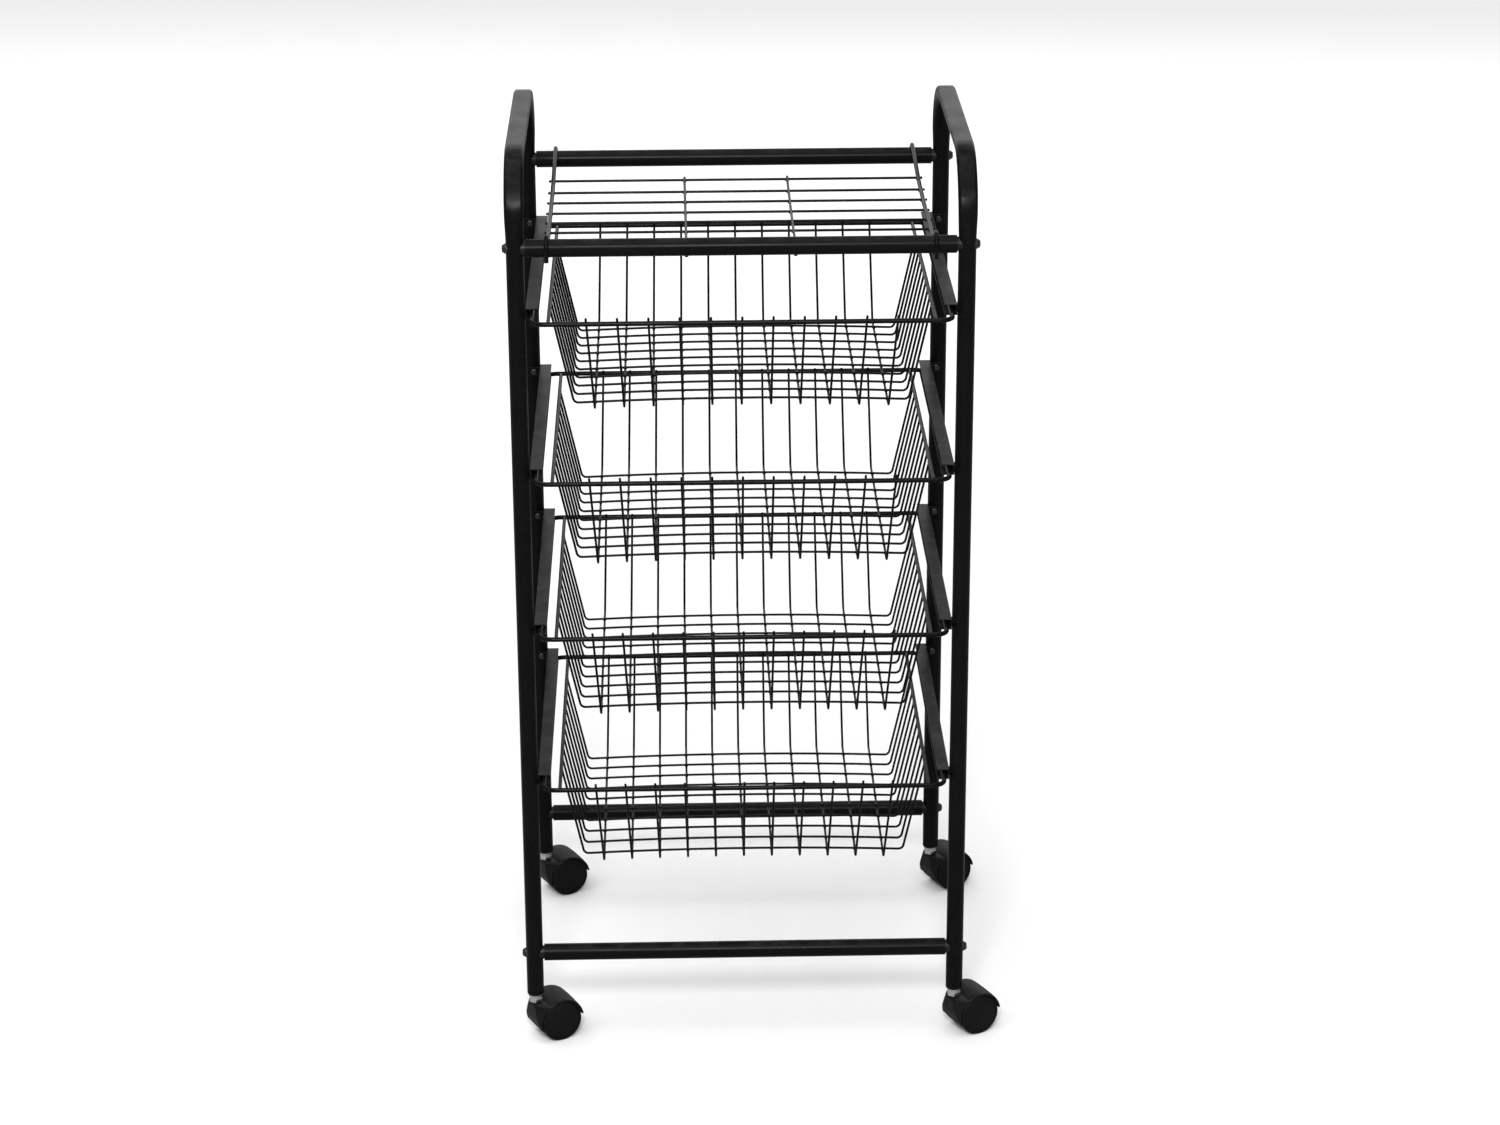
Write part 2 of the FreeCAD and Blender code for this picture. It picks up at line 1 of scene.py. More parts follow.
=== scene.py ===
"""Finish and detail for a wire shelf cart on four swivel casters.

The cart's frame, runners, baskets and shelf keep their own shapes and get their
coats here. Casters, bolts, screws and welds are modelled new.
"""
import json
import math

import bmesh
import bpy
from bpy.props import FloatProperty, FloatVectorProperty, PointerProperty
from mathutils import Matrix, Vector


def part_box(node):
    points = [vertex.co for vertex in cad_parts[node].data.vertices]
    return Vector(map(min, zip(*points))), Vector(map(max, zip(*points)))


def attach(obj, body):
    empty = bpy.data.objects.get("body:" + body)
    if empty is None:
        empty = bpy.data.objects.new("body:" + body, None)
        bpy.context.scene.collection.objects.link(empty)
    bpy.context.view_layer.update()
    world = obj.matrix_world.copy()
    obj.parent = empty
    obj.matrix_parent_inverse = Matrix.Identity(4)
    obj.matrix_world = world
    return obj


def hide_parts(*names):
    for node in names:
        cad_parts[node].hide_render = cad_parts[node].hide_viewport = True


bl_info = {
    "name": "Wire shelf cart",
    "version": (1, 0, 0),
    "blender": (4, 5, 0),
    "location": "3D View > Sidebar > Cart",
    "description": "Coats the cart's frame and baskets and models its casters and fasteners",
    "category": "Object",
}

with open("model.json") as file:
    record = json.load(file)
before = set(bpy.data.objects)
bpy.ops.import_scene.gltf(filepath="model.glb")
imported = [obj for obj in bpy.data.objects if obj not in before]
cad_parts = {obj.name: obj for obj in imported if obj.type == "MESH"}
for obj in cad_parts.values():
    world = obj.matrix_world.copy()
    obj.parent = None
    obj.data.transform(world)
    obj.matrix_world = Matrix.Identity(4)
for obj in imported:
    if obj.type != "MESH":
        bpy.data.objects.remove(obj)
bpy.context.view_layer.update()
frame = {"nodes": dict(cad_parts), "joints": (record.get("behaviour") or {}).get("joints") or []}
NODES = frame["nodes"]
JOINTS = {joint["name"]: joint for joint in frame["joints"]}
CORNERS = ("front_left", "front_right", "rear_left", "rear_right")
BASKETS = (1, 2, 3, 4)
MM = 0.001
TURN = 2 * math.pi


# ------------------------------------------------------------------- settings

def colour(name, description, default):
    return FloatVectorProperty(
        name=name, description=description, default=default,
        subtype="COLOR", size=3, min=0.0, max=1.0,
    )


def length(name, description, default):
    return FloatProperty(
        name=name, description=description, default=default,
        unit="LENGTH", min=0.0, precision=5,
    )


def share(name, description, default):
    return FloatProperty(
        name=name, description=description, default=default, subtype="FACTOR", min=0.0, max=1.0,
    )


def bearing(name, description, degrees):
    return FloatProperty(
        name=name, description=description, default=math.radians(degrees), subtype="ANGLE",
    )


def brightness(name, description, default):
    return FloatProperty(name=name, description=description, default=default, min=0)


class CartCoatSettings(bpy.types.PropertyGroup):
    tube: colour("Tube", "Powder coat of the frame's tubes", (0.0032, 0.0032, 0.0033))
    runner: colour("Runner", "Coat of the folded basket runners", (0.0042, 0.0042, 0.0043))
    wire: colour("Wire", "Coat of the basket wires and rims", (0.0034, 0.0034, 0.0036))
    shelf: colour("Shelf", "Coat of the wire shelf", (0.0034, 0.0034, 0.0036))
    tube_roughness: share("Tube roughness", "Gloss of the powder coat", 0.30)
    wire_roughness: share("Wire roughness", "Gloss of the coat on wire", 0.21)
    speckle_size: length("Speckle size", "Size of the powder coat's grain", 0.0007)
    grain_depth: length("Grain depth", "Height of the powder coat's grain", 0.00005)


class CartPlasticSettings(bpy.types.PropertyGroup):
    hood: colour("Hood", "Moulded plastic of the caster hoods", (0.0036, 0.0036, 0.0037))
    wheel: colour("Wheel", "Moulded plastic of the wheels", (0.0028, 0.0028, 0.0029))
    plug: colour("Plug", "Moulded plastic of the tube plugs", (0.009, 0.009, 0.009))
    roughness: share("Roughness", "Roughness of the satin plastic", 0.46)
    texture_depth: length("Texture depth", "Height of the moulded spark texture", 0.00004)


class CartMetalSettings(bpy.types.PropertyGroup):
    zinc: colour("Zinc", "Bright plating of the stem nuts and washers", (0.74, 0.75, 0.76))
    screw: colour("Screw", "Dark plating of the runner screws", (0.075, 0.075, 0.08))
    bolt: colour("Bolt", "Black finish of the dome bolts", (0.010, 0.010, 0.0105))
    axle: colour("Axle", "Plain steel of the wheel axles", (0.50, 0.50, 0.51))


class CartCasterSettings(bpy.types.PropertyGroup):
    wheel_radius: length("Wheel radius", "Outer radius of a wheel", 20.0 * MM)
    wheel_inner: length("Wheel inner face", "From the caster's middle to a wheel", 3.6 * MM)
    wheel_outer: length("Wheel outer face", "From the caster's middle to its face", 17.9 * MM)
    hood_radius: length("Hood radius", "Outer radius of the hood over the wheels", 23.0 * MM)
    hood_inner: length("Hood inner radius", "Inner radius of the hood over the wheels", 20.8 * MM)
    hood_half: length("Hood half width", "Half the width of the hood", 18.6 * MM)
    hood_edge: length("Hood edge", "Rounding of the hood's outer edges", 1.7 * MM)
    nut_flats: length("Nut", "Width of the stem's hexagon across its flats", 12.0 * MM)


class CartFastenerSettings(bpy.types.PropertyGroup):
    bolt_head: length("Bolt head", "Radius of a dome bolt's head", 4.9 * MM)
    bolt_socket: length("Bolt socket", "Width of the hexagon socket across its flats", 3.0 * MM)
    screw_head: length("Screw head", "Radius of a runner screw's head", 3.2 * MM)
    screw_height: length("Screw height", "Height of a runner screw's head", 2.0 * MM)


class CartWireSettings(bpy.types.PropertyGroup):
    wire: length("Basket wire", "Radius of the basket's wires", 1.1 * MM)
    rail: length("Side rail", "Radius of the basket's side rails", 1.7 * MM)
    rim: length("Rim wire", "Radius of the basket's rim", 2.2 * MM)
    shelf_bar: length("Shelf bar", "Radius of the shelf's cross bars", 1.2 * MM)
    weld: length("Weld", "How far a weld spreads along the wire", 1.75 * MM)


class CartStageSettings(bpy.types.PropertyGroup):
    camera_place: FloatVectorProperty(
        name="Camera place", description="Where the camera stands", subtype="TRANSLATION",
        unit="LENGTH", default=(-0.06323, -3.19387, 1.64413),
    )
    camera_pitch: bearing("Pitch", "How far the camera looks down", 20.8885)
    camera_yaw: bearing("Yaw", "How far the camera looks to the right", 1.3139)
    camera_roll: bearing("Roll", "How far the camera leans", -0.2427)
    lens: FloatProperty(name="Lens", description="Focal length in mm", default=85.475, min=10)
    floor_colour: colour("Floor", "Pale studio floor", (0.93, 0.93, 0.93))
    floor_bounce: share("Floor bounce", "Share of the floor's colour that lights the cart", 0.45)
    floor_half: length("Floor half width", "Half the side of the floor", 14.0)
    back_panel: brightness("Back panel", "Power of the panel behind the cart in watts", 38.0)
    front_panel: brightness("Front panel", "Power of the high panel in front in watts", 80.0)
    overhead: brightness("Overhead", "Strength of the wide soft light from above", 1.8)
    surround: brightness("Surround", "Light that the pale room gives from all round", 0.35)


SETTINGS = {
    "cart_coat": CartCoatSettings,
    "cart_plastic": CartPlasticSettings,
    "cart_metal": CartMetalSettings,
    "cart_caster": CartCasterSettings,
    "cart_fastener": CartFastenerSettings,
    "cart_wire": CartWireSettings,
    "cart_stage": CartStageSettings,
}


# ---------------------------------------------------------------- node groups

def new_group(name, inputs, outputs):
    """An empty shader group; inputs are (name, kind, default), outputs (name, kind)."""
    tree = bpy.data.node_groups.new(name, "ShaderNodeTree")
    for label, kind, default in inputs:
        socket = tree.interface.new_socket(label, in_out="INPUT", socket_type=kind)
        if default is not None:
            socket.default_value = default
    for label, kind in outputs:
        tree.interface.new_socket(label, in_out="OUTPUT", socket_type=kind)
    return tree, tree.nodes.new("NodeGroupInput"), tree.nodes.new("NodeGroupOutput")


def math_node(tree, operation, first, second=None, clamp=False):
    node = tree.nodes.new("ShaderNodeMath")
    node.operation = operation
    node.use_clamp = clamp
    for socket, value in zip(node.inputs, (first, second)):
        if value is None:
            continue
        if isinstance(value, (int, float)):
            socket.default_value = value
        else:
            tree.links.new(value, socket)
    return node.outputs[0]


def noise_node(tree, vector, scale, detail, roughness=0.5):
    node = tree.nodes.new("ShaderNodeTexNoise")
    node.inputs["Detail"].default_value = detail
    node.inputs["Roughness"].default_value = roughness
    tree.links.new(vector, node.inputs["Vector"])
    if isinstance(scale, (int, float)):
        node.inputs["Scale"].default_value = scale
    else:
        tree.links.new(scale, node.inputs["Scale"])
    return node.outputs["Fac"]


def range_node(tree, value, low, high, out_low=0.0, out_high=1.0):
    node = tree.nodes.new("ShaderNodeMapRange")
    tree.links.new(value, node.inputs["Value"])
    for socket, number in zip(node.inputs[1:5], (low, high, out_low, out_high)):
        if isinstance(number, (int, float)):
            socket.default_value = number
        else:
            tree.links.new(number, socket)
    return node.outputs["Result"]


def build_grain():
    """Orange-peel height and bright flecks, painted glints, of a sprayed or moulded skin."""
    tree, given, made = new_group(
        "Skin grain",
        [("Vector", "NodeSocketVector", None), ("Size", "NodeSocketFloat", 0.001)],
        [(label, "NodeSocketFloat") for label in ("Height", "Glints", "Patches")],
    )
    vector, size = given.outputs["Vector"], given.outputs["Size"]
    fine_scale = math_node(tree, "DIVIDE", 1.0, size)
    peel = noise_node(tree, vector, fine_scale, 2.0, 0.55)
    wide_scale = math_node(tree, "MULTIPLY", fine_scale, 0.32)
    wave = noise_node(tree, vector, wide_scale, 1.0)
    height = math_node(tree, "ADD", math_node(tree, "MULTIPLY", peel, 0.65),
                       math_node(tree, "MULTIPLY", wave, 0.35))
    tree.links.new(height, made.inputs["Height"])
    # Bright flecks: painted glints of the grainy skin.
    glint_scale = math_node(tree, "MULTIPLY", fine_scale, 1.3)
    glint_noise = noise_node(tree, vector, glint_scale, 1.0)
    tree.links.new(range_node(tree, glint_noise, 0.58, 0.82), made.inputs["Glints"])
    patch = noise_node(tree, vector, 26.0, 3.0)
    tree.links.new(range_node(tree, patch, 0.32, 0.68), made.inputs["Patches"])
    return tree


def build_wear():
    """How much a spot is rubbed: on sharp edges, broken up by noise."""
    tree, given, made = new_group(
        "Edge wear",
        [("Vector", "NodeSocketVector", None), ("Radius", "NodeSocketFloat", 0.0006),
         ("Amount", "NodeSocketFloat", 0.5)],
        [("Edge", "NodeSocketFloat"), ("Wear", "NodeSocketFloat")],
    )
    bevel = tree.nodes.new("ShaderNodeBevel")
    bevel.samples = 4
    tree.links.new(given.outputs["Radius"], bevel.inputs["Radius"])
    place = tree.nodes.new("ShaderNodeNewGeometry")
    dot = tree.nodes.new("ShaderNodeVectorMath")
    dot.operation = "DOT_PRODUCT"
    tree.links.new(bevel.outputs["Normal"], dot.inputs[0])
    tree.links.new(place.outputs["Normal"], dot.inputs[1])
    edge = range_node(tree, dot.outputs["Value"], 0.995, 0.86)
    broken = noise_node(tree, given.outputs["Vector"], 420.0, 4.0, 0.62)
    cut = range_node(tree, broken, 0.42, 0.62)
    worn = math_node(tree, "MULTIPLY", math_node(tree, "MULTIPLY", edge, cut),
                     given.outputs["Amount"], clamp=True)
    tree.links.new(edge, made.inputs["Edge"])
    tree.links.new(worn, made.inputs["Wear"])
    return tree


def build_top_sheen_and_dust():
    """Lighter where a surface faces up: partly thin settled dust, partly a painted sheen of the
    light from above.
    """
    tree, given, made = new_group(
        "Top sheen and dust",
        [("Vector", "NodeSocketVector", None), ("Amount", "NodeSocketFloat", 0.2)],
        [("Sheen and dust", "NodeSocketFloat")],
    )
    place = tree.nodes.new("ShaderNodeNewGeometry")
    split = tree.nodes.new("ShaderNodeSeparateXYZ")
    tree.links.new(place.outputs["Normal"], split.inputs[0])
    up = range_node(tree, split.outputs["Z"], 0.55, 1.0)
    spread = noise_node(tree, given.outputs["Vector"], 60.0, 5.0, 0.7)
    thin = range_node(tree, spread, 0.45, 0.75)
    dust_and_sheen = math_node(tree, "MULTIPLY", math_node(tree, "MULTIPLY", up, thin),
                     given.outputs["Amount"], clamp=True)
    tree.links.new(dust_and_sheen, made.inputs["Sheen and dust"])
    return tree


def place_group(tree, builder_name, vector, **values):
    node = tree.nodes.new("ShaderNodeGroup")
    node.node_tree = bpy.data.node_groups[builder_name]
    tree.links.new(vector, node.inputs["Vector"])
    for label, value in values.items():
        node.inputs[label].default_value = value
    return node


def mix_colour(tree, factor, first, second):
    node = tree.nodes.new("ShaderNodeMix")
    node.data_type = "RGBA"
    tree.links.new(factor, node.inputs["Factor"])
    for label, value in (("A", first), ("B", second)):
        socket = next(s for s in node.inputs if s.name == label and s.type == "RGBA")
        if isinstance(value, bpy.types.NodeSocket):
            tree.links.new(value, socket)
        else:
            socket.default_value = (*value, 1.0)
    return next(s for s in node.outputs if s.type == "RGBA")


# Dust and painted top sheen: the colour that faces looking up are lightened towards.
TOP_SHEEN_AND_DUST_COLOUR = (0.16, 0.155, 0.15)
BARE_EDGE = (0.10, 0.10, 0.105)  # coat rubbed thin
COAT_IOR = 1.15
PLASTIC_IOR = 1.25
PLASTIC_GRAIN = 0.6 * MM
METAL_GRAIN = 0.5 * MM


def start_material(name):
    material = bpy.data.materials.new(name)
    material.use_nodes = True
    tree = material.node_tree
    shader = next(n for n in tree.nodes if n.type == "BSDF_PRINCIPLED")
    place = tree.nodes.new("ShaderNodeTexCoord")
    return material, tree, shader, place.outputs["Object"]


def bump_into(tree, shader, height, distance):
    bump = tree.nodes.new("ShaderNodeBump")
    bump.inputs["Distance"].default_value = distance
    bump.inputs["Strength"].default_value = 1.0
    tree.links.new(height, bump.inputs["Height"])
    tree.links.new(bump.outputs["Normal"], shader.inputs["Normal"])


def dress(tree, shader, tone, gloss, height, depth):
    tree.links.new(tone, shader.inputs["Base Color"])
    tree.links.new(gloss, shader.inputs["Roughness"])
    bump_into(tree, shader, height, depth)


def lighter(base, times, plus=0.0):
    return tuple(min(1.0, c * times + plus) for c in base)


def coat_material(name, base, roughness, size, depth, wear=0.0, dust_and_sheen=0.12):
    """Black sprayed coat: grain, bright flecks painted as glints, patchy gloss, rubbed edges, and
    dust with a painted sheen on faces that look up.
    """
    material, tree, shader, vector = start_material(name)
    grain = place_group(tree, "Skin grain", vector, Size=size)
    tone = mix_colour(tree, grain.outputs["Patches"], lighter(base, 0.8), lighter(base, 1.25))
    # Painted glints: bright flecks over the coat.
    tone = mix_colour(tree, grain.outputs["Glints"], tone, lighter(base, 2.2, 0.014))
    gloss = range_node(tree, grain.outputs["Patches"], 0.0, 1.0,
                       roughness - 0.05, roughness + 0.06)
    # Faces that look up are lightened: partly settled dust, partly a painted sheen of the light
    # from above.
    sheen_and_dust_mask = place_group(tree, "Top sheen and dust", vector, Amount=dust_and_sheen)
    tone = mix_colour(tree, sheen_and_dust_mask.outputs["Sheen and dust"], tone, TOP_SHEEN_AND_DUST_COLOUR)
    dulled = math_node(tree, "MULTIPLY", sheen_and_dust_mask.outputs["Sheen and dust"], 0.4)
    gloss = math_node(tree, "ADD", gloss, dulled)
    if wear:
        rubbed = place_group(tree, "Edge wear", vector, Radius=0.0007, Amount=wear)
        tone = mix_colour(tree, rubbed.outputs["Wear"], tone, BARE_EDGE)
        polish = math_node(tree, "MULTIPLY", rubbed.outputs["Edge"], -0.07)
        gloss = math_node(tree, "ADD", gloss, polish)
    shader.inputs["IOR"].default_value = COAT_IOR
    dress(tree, shader, tone, gloss, grain.outputs["Height"], depth)
    return material


def plastic_material(name, base, roughness, depth, wear=0.35, dust_and_sheen=0.0):
    """Moulded black plastic with a fine spark texture and scuffed edges."""
    material, tree, shader, vector = start_material(name)
    grain = place_group(tree, "Skin grain", vector, Size=PLASTIC_GRAIN)
    tone = mix_colour(tree, grain.outputs["Patches"], lighter(base, 0.85), lighter(base, 1.3))
    scuff = noise_node(tree, vector, 150.0, 6.0, 0.72)
    scuffed = range_node(tree, scuff, 0.60, 0.78)
    tone = mix_colour(tree, scuffed, tone, lighter(base, 2.4, 0.01))
    gloss = range_node(tree, scuff, 0.3, 0.75, roughness - 0.06, roughness + 0.12)
    rubbed = place_group(tree, "Edge wear", vector, Radius=0.0006, Amount=wear)
    tone = mix_colour(tree, rubbed.outputs["Wear"], tone, lighter(base, 4.0, 0.03))
    if dust_and_sheen:
        # Faces that look up are lightened: partly dust, partly a painted sheen of the light from
        # above.
        sheen_and_dust_mask = place_group(tree, "Top sheen and dust", vector, Amount=dust_and_sheen)
        tone = mix_colour(tree, sheen_and_dust_mask.outputs["Sheen and dust"], tone, TOP_SHEEN_AND_DUST_COLOUR)
    shader.inputs["IOR"].default_value = PLASTIC_IOR
    dress(tree, shader, tone, gloss, grain.outputs["Height"], depth)
    return material


def metal_material(name, base, roughness, wear=0.4, blotch=0.35, depth=0.00002):
    """Plated or plain steel with spangle, fine scratches and duller blotches."""
    material, tree, shader, vector = start_material(name)
    grain = place_group(tree, "Skin grain", vector, Size=METAL_GRAIN)
    stretch = tree.nodes.new("ShaderNodeMapping")
    stretch.inputs["Scale"].default_value = (260.0, 260.0, 2400.0)
    tree.links.new(vector, stretch.inputs["Vector"])
    scratch = noise_node(tree, stretch.outputs["Vector"], 1.0, 3.0, 0.6)
    tone = mix_colour(tree, grain.outputs["Patches"], lighter(base, 1.0 - blotch), base)
    dull = range_node(tree, scratch, 0.35, 0.7)
    tone = mix_colour(tree, dull, tone, lighter(base, 0.86))
    rubbed = place_group(tree, "Edge wear", vector, Radius=0.0005, Amount=wear)
    tone = mix_colour(tree, rubbed.outputs["Wear"], tone, lighter(base, 1.15, 0.03))
    gloss = range_node(tree, scratch, 0.3, 0.7, roughness - 0.05, roughness + 0.12)
    shader.inputs["Metallic"].default_value = 1.0
    height = math_node(tree, "ADD", grain.outputs["Height"], scratch)
    dress(tree, shader, tone, gloss, height, depth)
    return material


def build_materials(scene):
    coat, plastic, metal = scene.cart_coat, scene.cart_plastic, scene.cart_metal
    build_grain()
    build_wear()
    build_top_sheen_and_dust()
    size, depth = coat.speckle_size, coat.grain_depth
    gloss, wire_gloss = coat.tube_roughness, coat.wire_roughness
    coat_material("tube_coat_black", coat.tube, gloss, size, depth)
    # The runners' tops get the most painted sheen and dust.
    coat_material("runner_coat_black", coat.runner, gloss + 0.04, size, depth, wear=0.45, dust_and_sheen=0.2)
    coat_material("rim_coat_black", coat.wire, wire_gloss, size, depth * 0.8)
    coat_material("wire_coat_black", coat.wire, wire_gloss + 0.03, size * 0.8, depth * 0.7)
    coat_material("shelf_coat_black", coat.shelf, wire_gloss - 0.04, size * 0.8, depth * 0.7)
    plastic_material("hood_plastic_black", plastic.hood, plastic.roughness, plastic.texture_depth,
                     dust_and_sheen=0.1)
    plastic_material("wheel_plastic_black", plastic.wheel, plastic.roughness + 0.04,
                     plastic.texture_depth)
    plastic_material("plug_plastic_black", plastic.plug, 0.38, plastic.texture_depth * 0.6)
    metal_material("zinc_bright", metal.zinc, 0.22)
    metal_material("screw_zinc_dull", metal.screw, 0.34)
    metal_material("axle_steel_plain", metal.axle, 0.30)
    bolt = metal_material("bolt_black_oxide", metal.bolt, 0.30, wear=0.5)
    bolt_shader = next(n for n in bolt.node_tree.nodes if n.type == "BSDF_PRINCIPLED")
    bolt_shader.inputs["Metallic"].default_value = 0.0


SLOT_MATERIAL = {
    "tube_coat": "tube_coat_black",
    "runner_coat": "runner_coat_black",
    "rim_coat": "rim_coat_black",
    "wire_coat": "wire_coat_black",
    "shelf_coat": "shelf_coat_black",
    "bolt_black": "bolt_black_oxide",
    "screw_steel": "screw_zinc_dull",
    "plug_plastic": "plug_plastic_black",
    "zinc": "zinc_bright",
    "hood_plastic": "hood_plastic_black",
    "axle_steel": "axle_steel_plain",
    "wheel_plastic": "wheel_plastic_black",
}


def finish_of(slot):
    return bpy.data.materials[SLOT_MATERIAL[slot]]


def coat_nodes(names, slot):
    """Give CAD nodes the finish of a slot."""
    for name in names:
        for held in NODES[name].material_slots:
            held.material = finish_of(slot)


# -------------------------------------------------------------- mesh helpers

def add_object(name, data):
    made = bpy.data.objects.new(name, data)
    bpy.context.scene.collection.objects.link(made)
    return made


def make_piece(name, bm, slot, body, replaced=(), sharp=math.radians(32), place=None):
    """Turn a bmesh into a finished piece that rides on a body."""
    bmesh.ops.remove_doubles(bm, verts=bm.verts, dist=1e-7)
    bmesh.ops.recalc_face_normals(bm, faces=bm.faces)
    if place is not None:
        bmesh.ops.transform(bm, matrix=place, verts=bm.verts)
    mesh = bpy.data.meshes.new(name)
    bm.to_mesh(mesh)
    bm.free()
    mesh.shade_smooth()
    mesh.set_sharp_from_angle(angle=sharp)
    mesh.materials.append(finish_of(slot))
    piece = add_object(name, mesh)
    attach(piece, body)
    if replaced:
        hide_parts(*replaced)
    return piece


def solid_boxes(node):
    """(lowest, highest) corner of each separate solid of a CAD node."""
    bm = bmesh.new()
    bm.from_mesh(NODES[node].data)
    bmesh.ops.remove_doubles(bm, verts=bm.verts, dist=1e-6)
    seen, boxes = set(), []
    for start in bm.verts:
        if start.index in seen:
            continue
        seen.add(start.index)
        island, reach = [], [start]
        while reach:
            vert = reach.pop()
            island.append(vert.co.copy())
            for edge in vert.link_edges:
                other = edge.other_vert(vert)
                if other.index not in seen:
                    seen.add(other.index)
                    reach.append(other)
        low = Vector(min(p[i] for p in island) for i in range(3))
        high = Vector(max(p[i] for p in island) for i in range(3))
        boxes.append((low, high))
    bm.free()
    return boxes


def spin_profile(bm, points, axis, steps, centre=(0, 0, 0)):
    """A closed turned shape from a profile whose ends lie on the axis."""
    verts, edges = chain(bm, points)
    bmesh.ops.spin(
        bm, geom=verts + edges, cent=centre, axis=axis, angle=TURN, steps=steps,
        use_merge=True, use_duplicate=False,
    )
    bmesh.ops.remove_doubles(bm, verts=bm.verts, dist=1e-7)
    flat = [f for f in bm.faces if f.calc_area() < 1e-16]
    bmesh.ops.delete(bm, geom=flat, context="FACES")


def add_mesh(bm, other, matrix=None):
    """Copy one bmesh into another, moved by a matrix."""
    scratch = bpy.data.meshes.new("scratch")
    other.to_mesh(scratch)
    if matrix is not None:
        scratch.transform(matrix)
        if matrix.determinant() < 0:
            scratch.flip_normals()
    bm.from_mesh(scratch)
    bpy.data.meshes.remove(scratch)


def join_mesh(bm, other, matrix=None):
    """Copy one bmesh into another and free it."""
    add_mesh(bm, other, matrix)
    other.free()


def round_edges(bm, edges, offset, segments, clamp=False):
    bmesh.ops.bevel(bm, geom=edges, offset=offset, segments=segments, affect="EDGES",
                    profile=0.5, material=-1, clamp_overlap=clamp)


def rounded_box(size, centre, edge):
    bm = bmesh.new()
    bmesh.ops.create_cube(bm, size=1.0)
    bmesh.ops.scale(bm, vec=size, verts=bm.verts)
    round_edges(bm, bm.edges[:], edge, 2)
    bmesh.ops.translate(bm, vec=centre, verts=bm.verts)
    return bm


def rod(segments, low_radius, high_radius, depth, edge=0.0, edge_segments=1):
    """A capped rod about the middle of its own length, its end edges rounded."""
    bm = bmesh.new()
    bmesh.ops.create_cone(bm, cap_ends=True, segments=segments, radius1=low_radius,
                          radius2=high_radius, depth=depth)
    if edge:
        ends = [e for e in bm.edges if abs(e.verts[0].co.z - e.verts[1].co.z) < 1e-6]
        round_edges(bm, ends, edge, edge_segments)
    return bm


def chain(bm, points):
    """New vertices joined in a row: (vertices, edges)."""
    verts = [bm.verts.new(p) for p in points]
    return verts, [bm.edges.new(pair) for pair in zip(verts, verts[1:])]


# -------------------------------------------------------------------- casters

def caster_place(corner):
    """Matrix from a caster's own axes to the cart: +X trails, Z up, floor at zero."""
    swivel = Vector(JOINTS[f"caster_{corner}_swivel"]["pos_m"])
    wheel = Vector(JOINTS[f"wheel_{corner}_near_spin"]["pos_m"])
    trail = wheel - swivel
    turn = Matrix.Rotation(math.atan2(trail.y, trail.x), 4, "Z")
    return Matrix.Translation((swivel.x, swivel.y, 0.0)) @ turn


def caster_trail(corner):
    swivel = Vector(JOINTS[f"caster_{corner}_swivel"]["pos_m"])
    wheel = Vector(JOINTS[f"wheel_{corner}_near_spin"]["pos_m"])
    return math.hypot(wheel.x - swivel.x, wheel.y - swivel.y), wheel.z


NOSE_FACE = -4.8 * MM      # flat front of the hood
NOSE_TOP = 39.0 * MM
NOSE_SHOULDER = 35.5 * MM
NOSE_CHIN = 24.0 * MM      # the face slopes back below this
NOSE_BOTTOM = 13.0 * MM
CHIN_BACK = 3.4 * MM
NOSE_HALF_TOP = 6.4 * MM
NOSE_HALF_BOTTOM = 15.6 * MM
FULL_WIDTH_LOW = 3.5 * MM  # the hood is at full width from here back, low down
FULL_WIDTH_HIGH = 10.5 * MM
SKIRT = 23.5 * MM          # lower edge at the trailing end
TOP_BEND = 2.6 * MM        # rounding between the hood's top and its face
CHIN_CURVE = 1.3
CROWN_SHARE = 0.03         # how far the top falls off at its sides, as a share of the half width
HUB_RADIUS = 12.0 * MM
HUB_EDGE = 0.5 * MM
BOSS_SHIFT = 1.6 * MM
STEM_RADIUS = 4.0 * MM
NUT_LOW = 39.6 * MM
NUT_HEIGHT = 5.5 * MM
WASHER_RADIUS = 6.8 * MM
WASHER_THICK = 1.7 * MM
WASHER_MIDDLE = 46.2 * MM


def hood_outline(trail, axle_z, radius):
    """Side view of the hood's outer skin, from the trailing skirt over the top to the chin."""
    points = []
    first = math.asin((SKIRT - axle_z) / radius)
    last = math.pi - math.asin((NOSE_TOP - axle_z) / radius)
    arc_steps = 30
    for k in range(arc_steps + 1):
        a = first + (last - first) * k / arc_steps
        points.append((trail + radius * math.cos(a), axle_z + radius * math.sin(a)))
    back = points[-1][0]
    for k in range(1, 4):
        points.append((back + (NOSE_FACE + TOP_BEND - back) * k / 3, NOSE_TOP))
    for k in range(1, 4):
        a = math.radians(90 + 30 * k)
        points.append((NOSE_FACE + TOP_BEND * (1 + math.cos(a)),
                       NOSE_SHOULDER + (NOSE_TOP - NOSE_SHOULDER) * math.sin(a)))
    for k in range(1, 6):
        points.append((NOSE_FACE, NOSE_SHOULDER + (NOSE_CHIN - NOSE_SHOULDER) * k / 5))
    for k in range(1, 6):
        t = k / 5
        points.append((NOSE_FACE + CHIN_BACK * t ** CHIN_CURVE,
                       NOSE_CHIN + (NOSE_BOTTOM - NOSE_CHIN) * t))
    return points


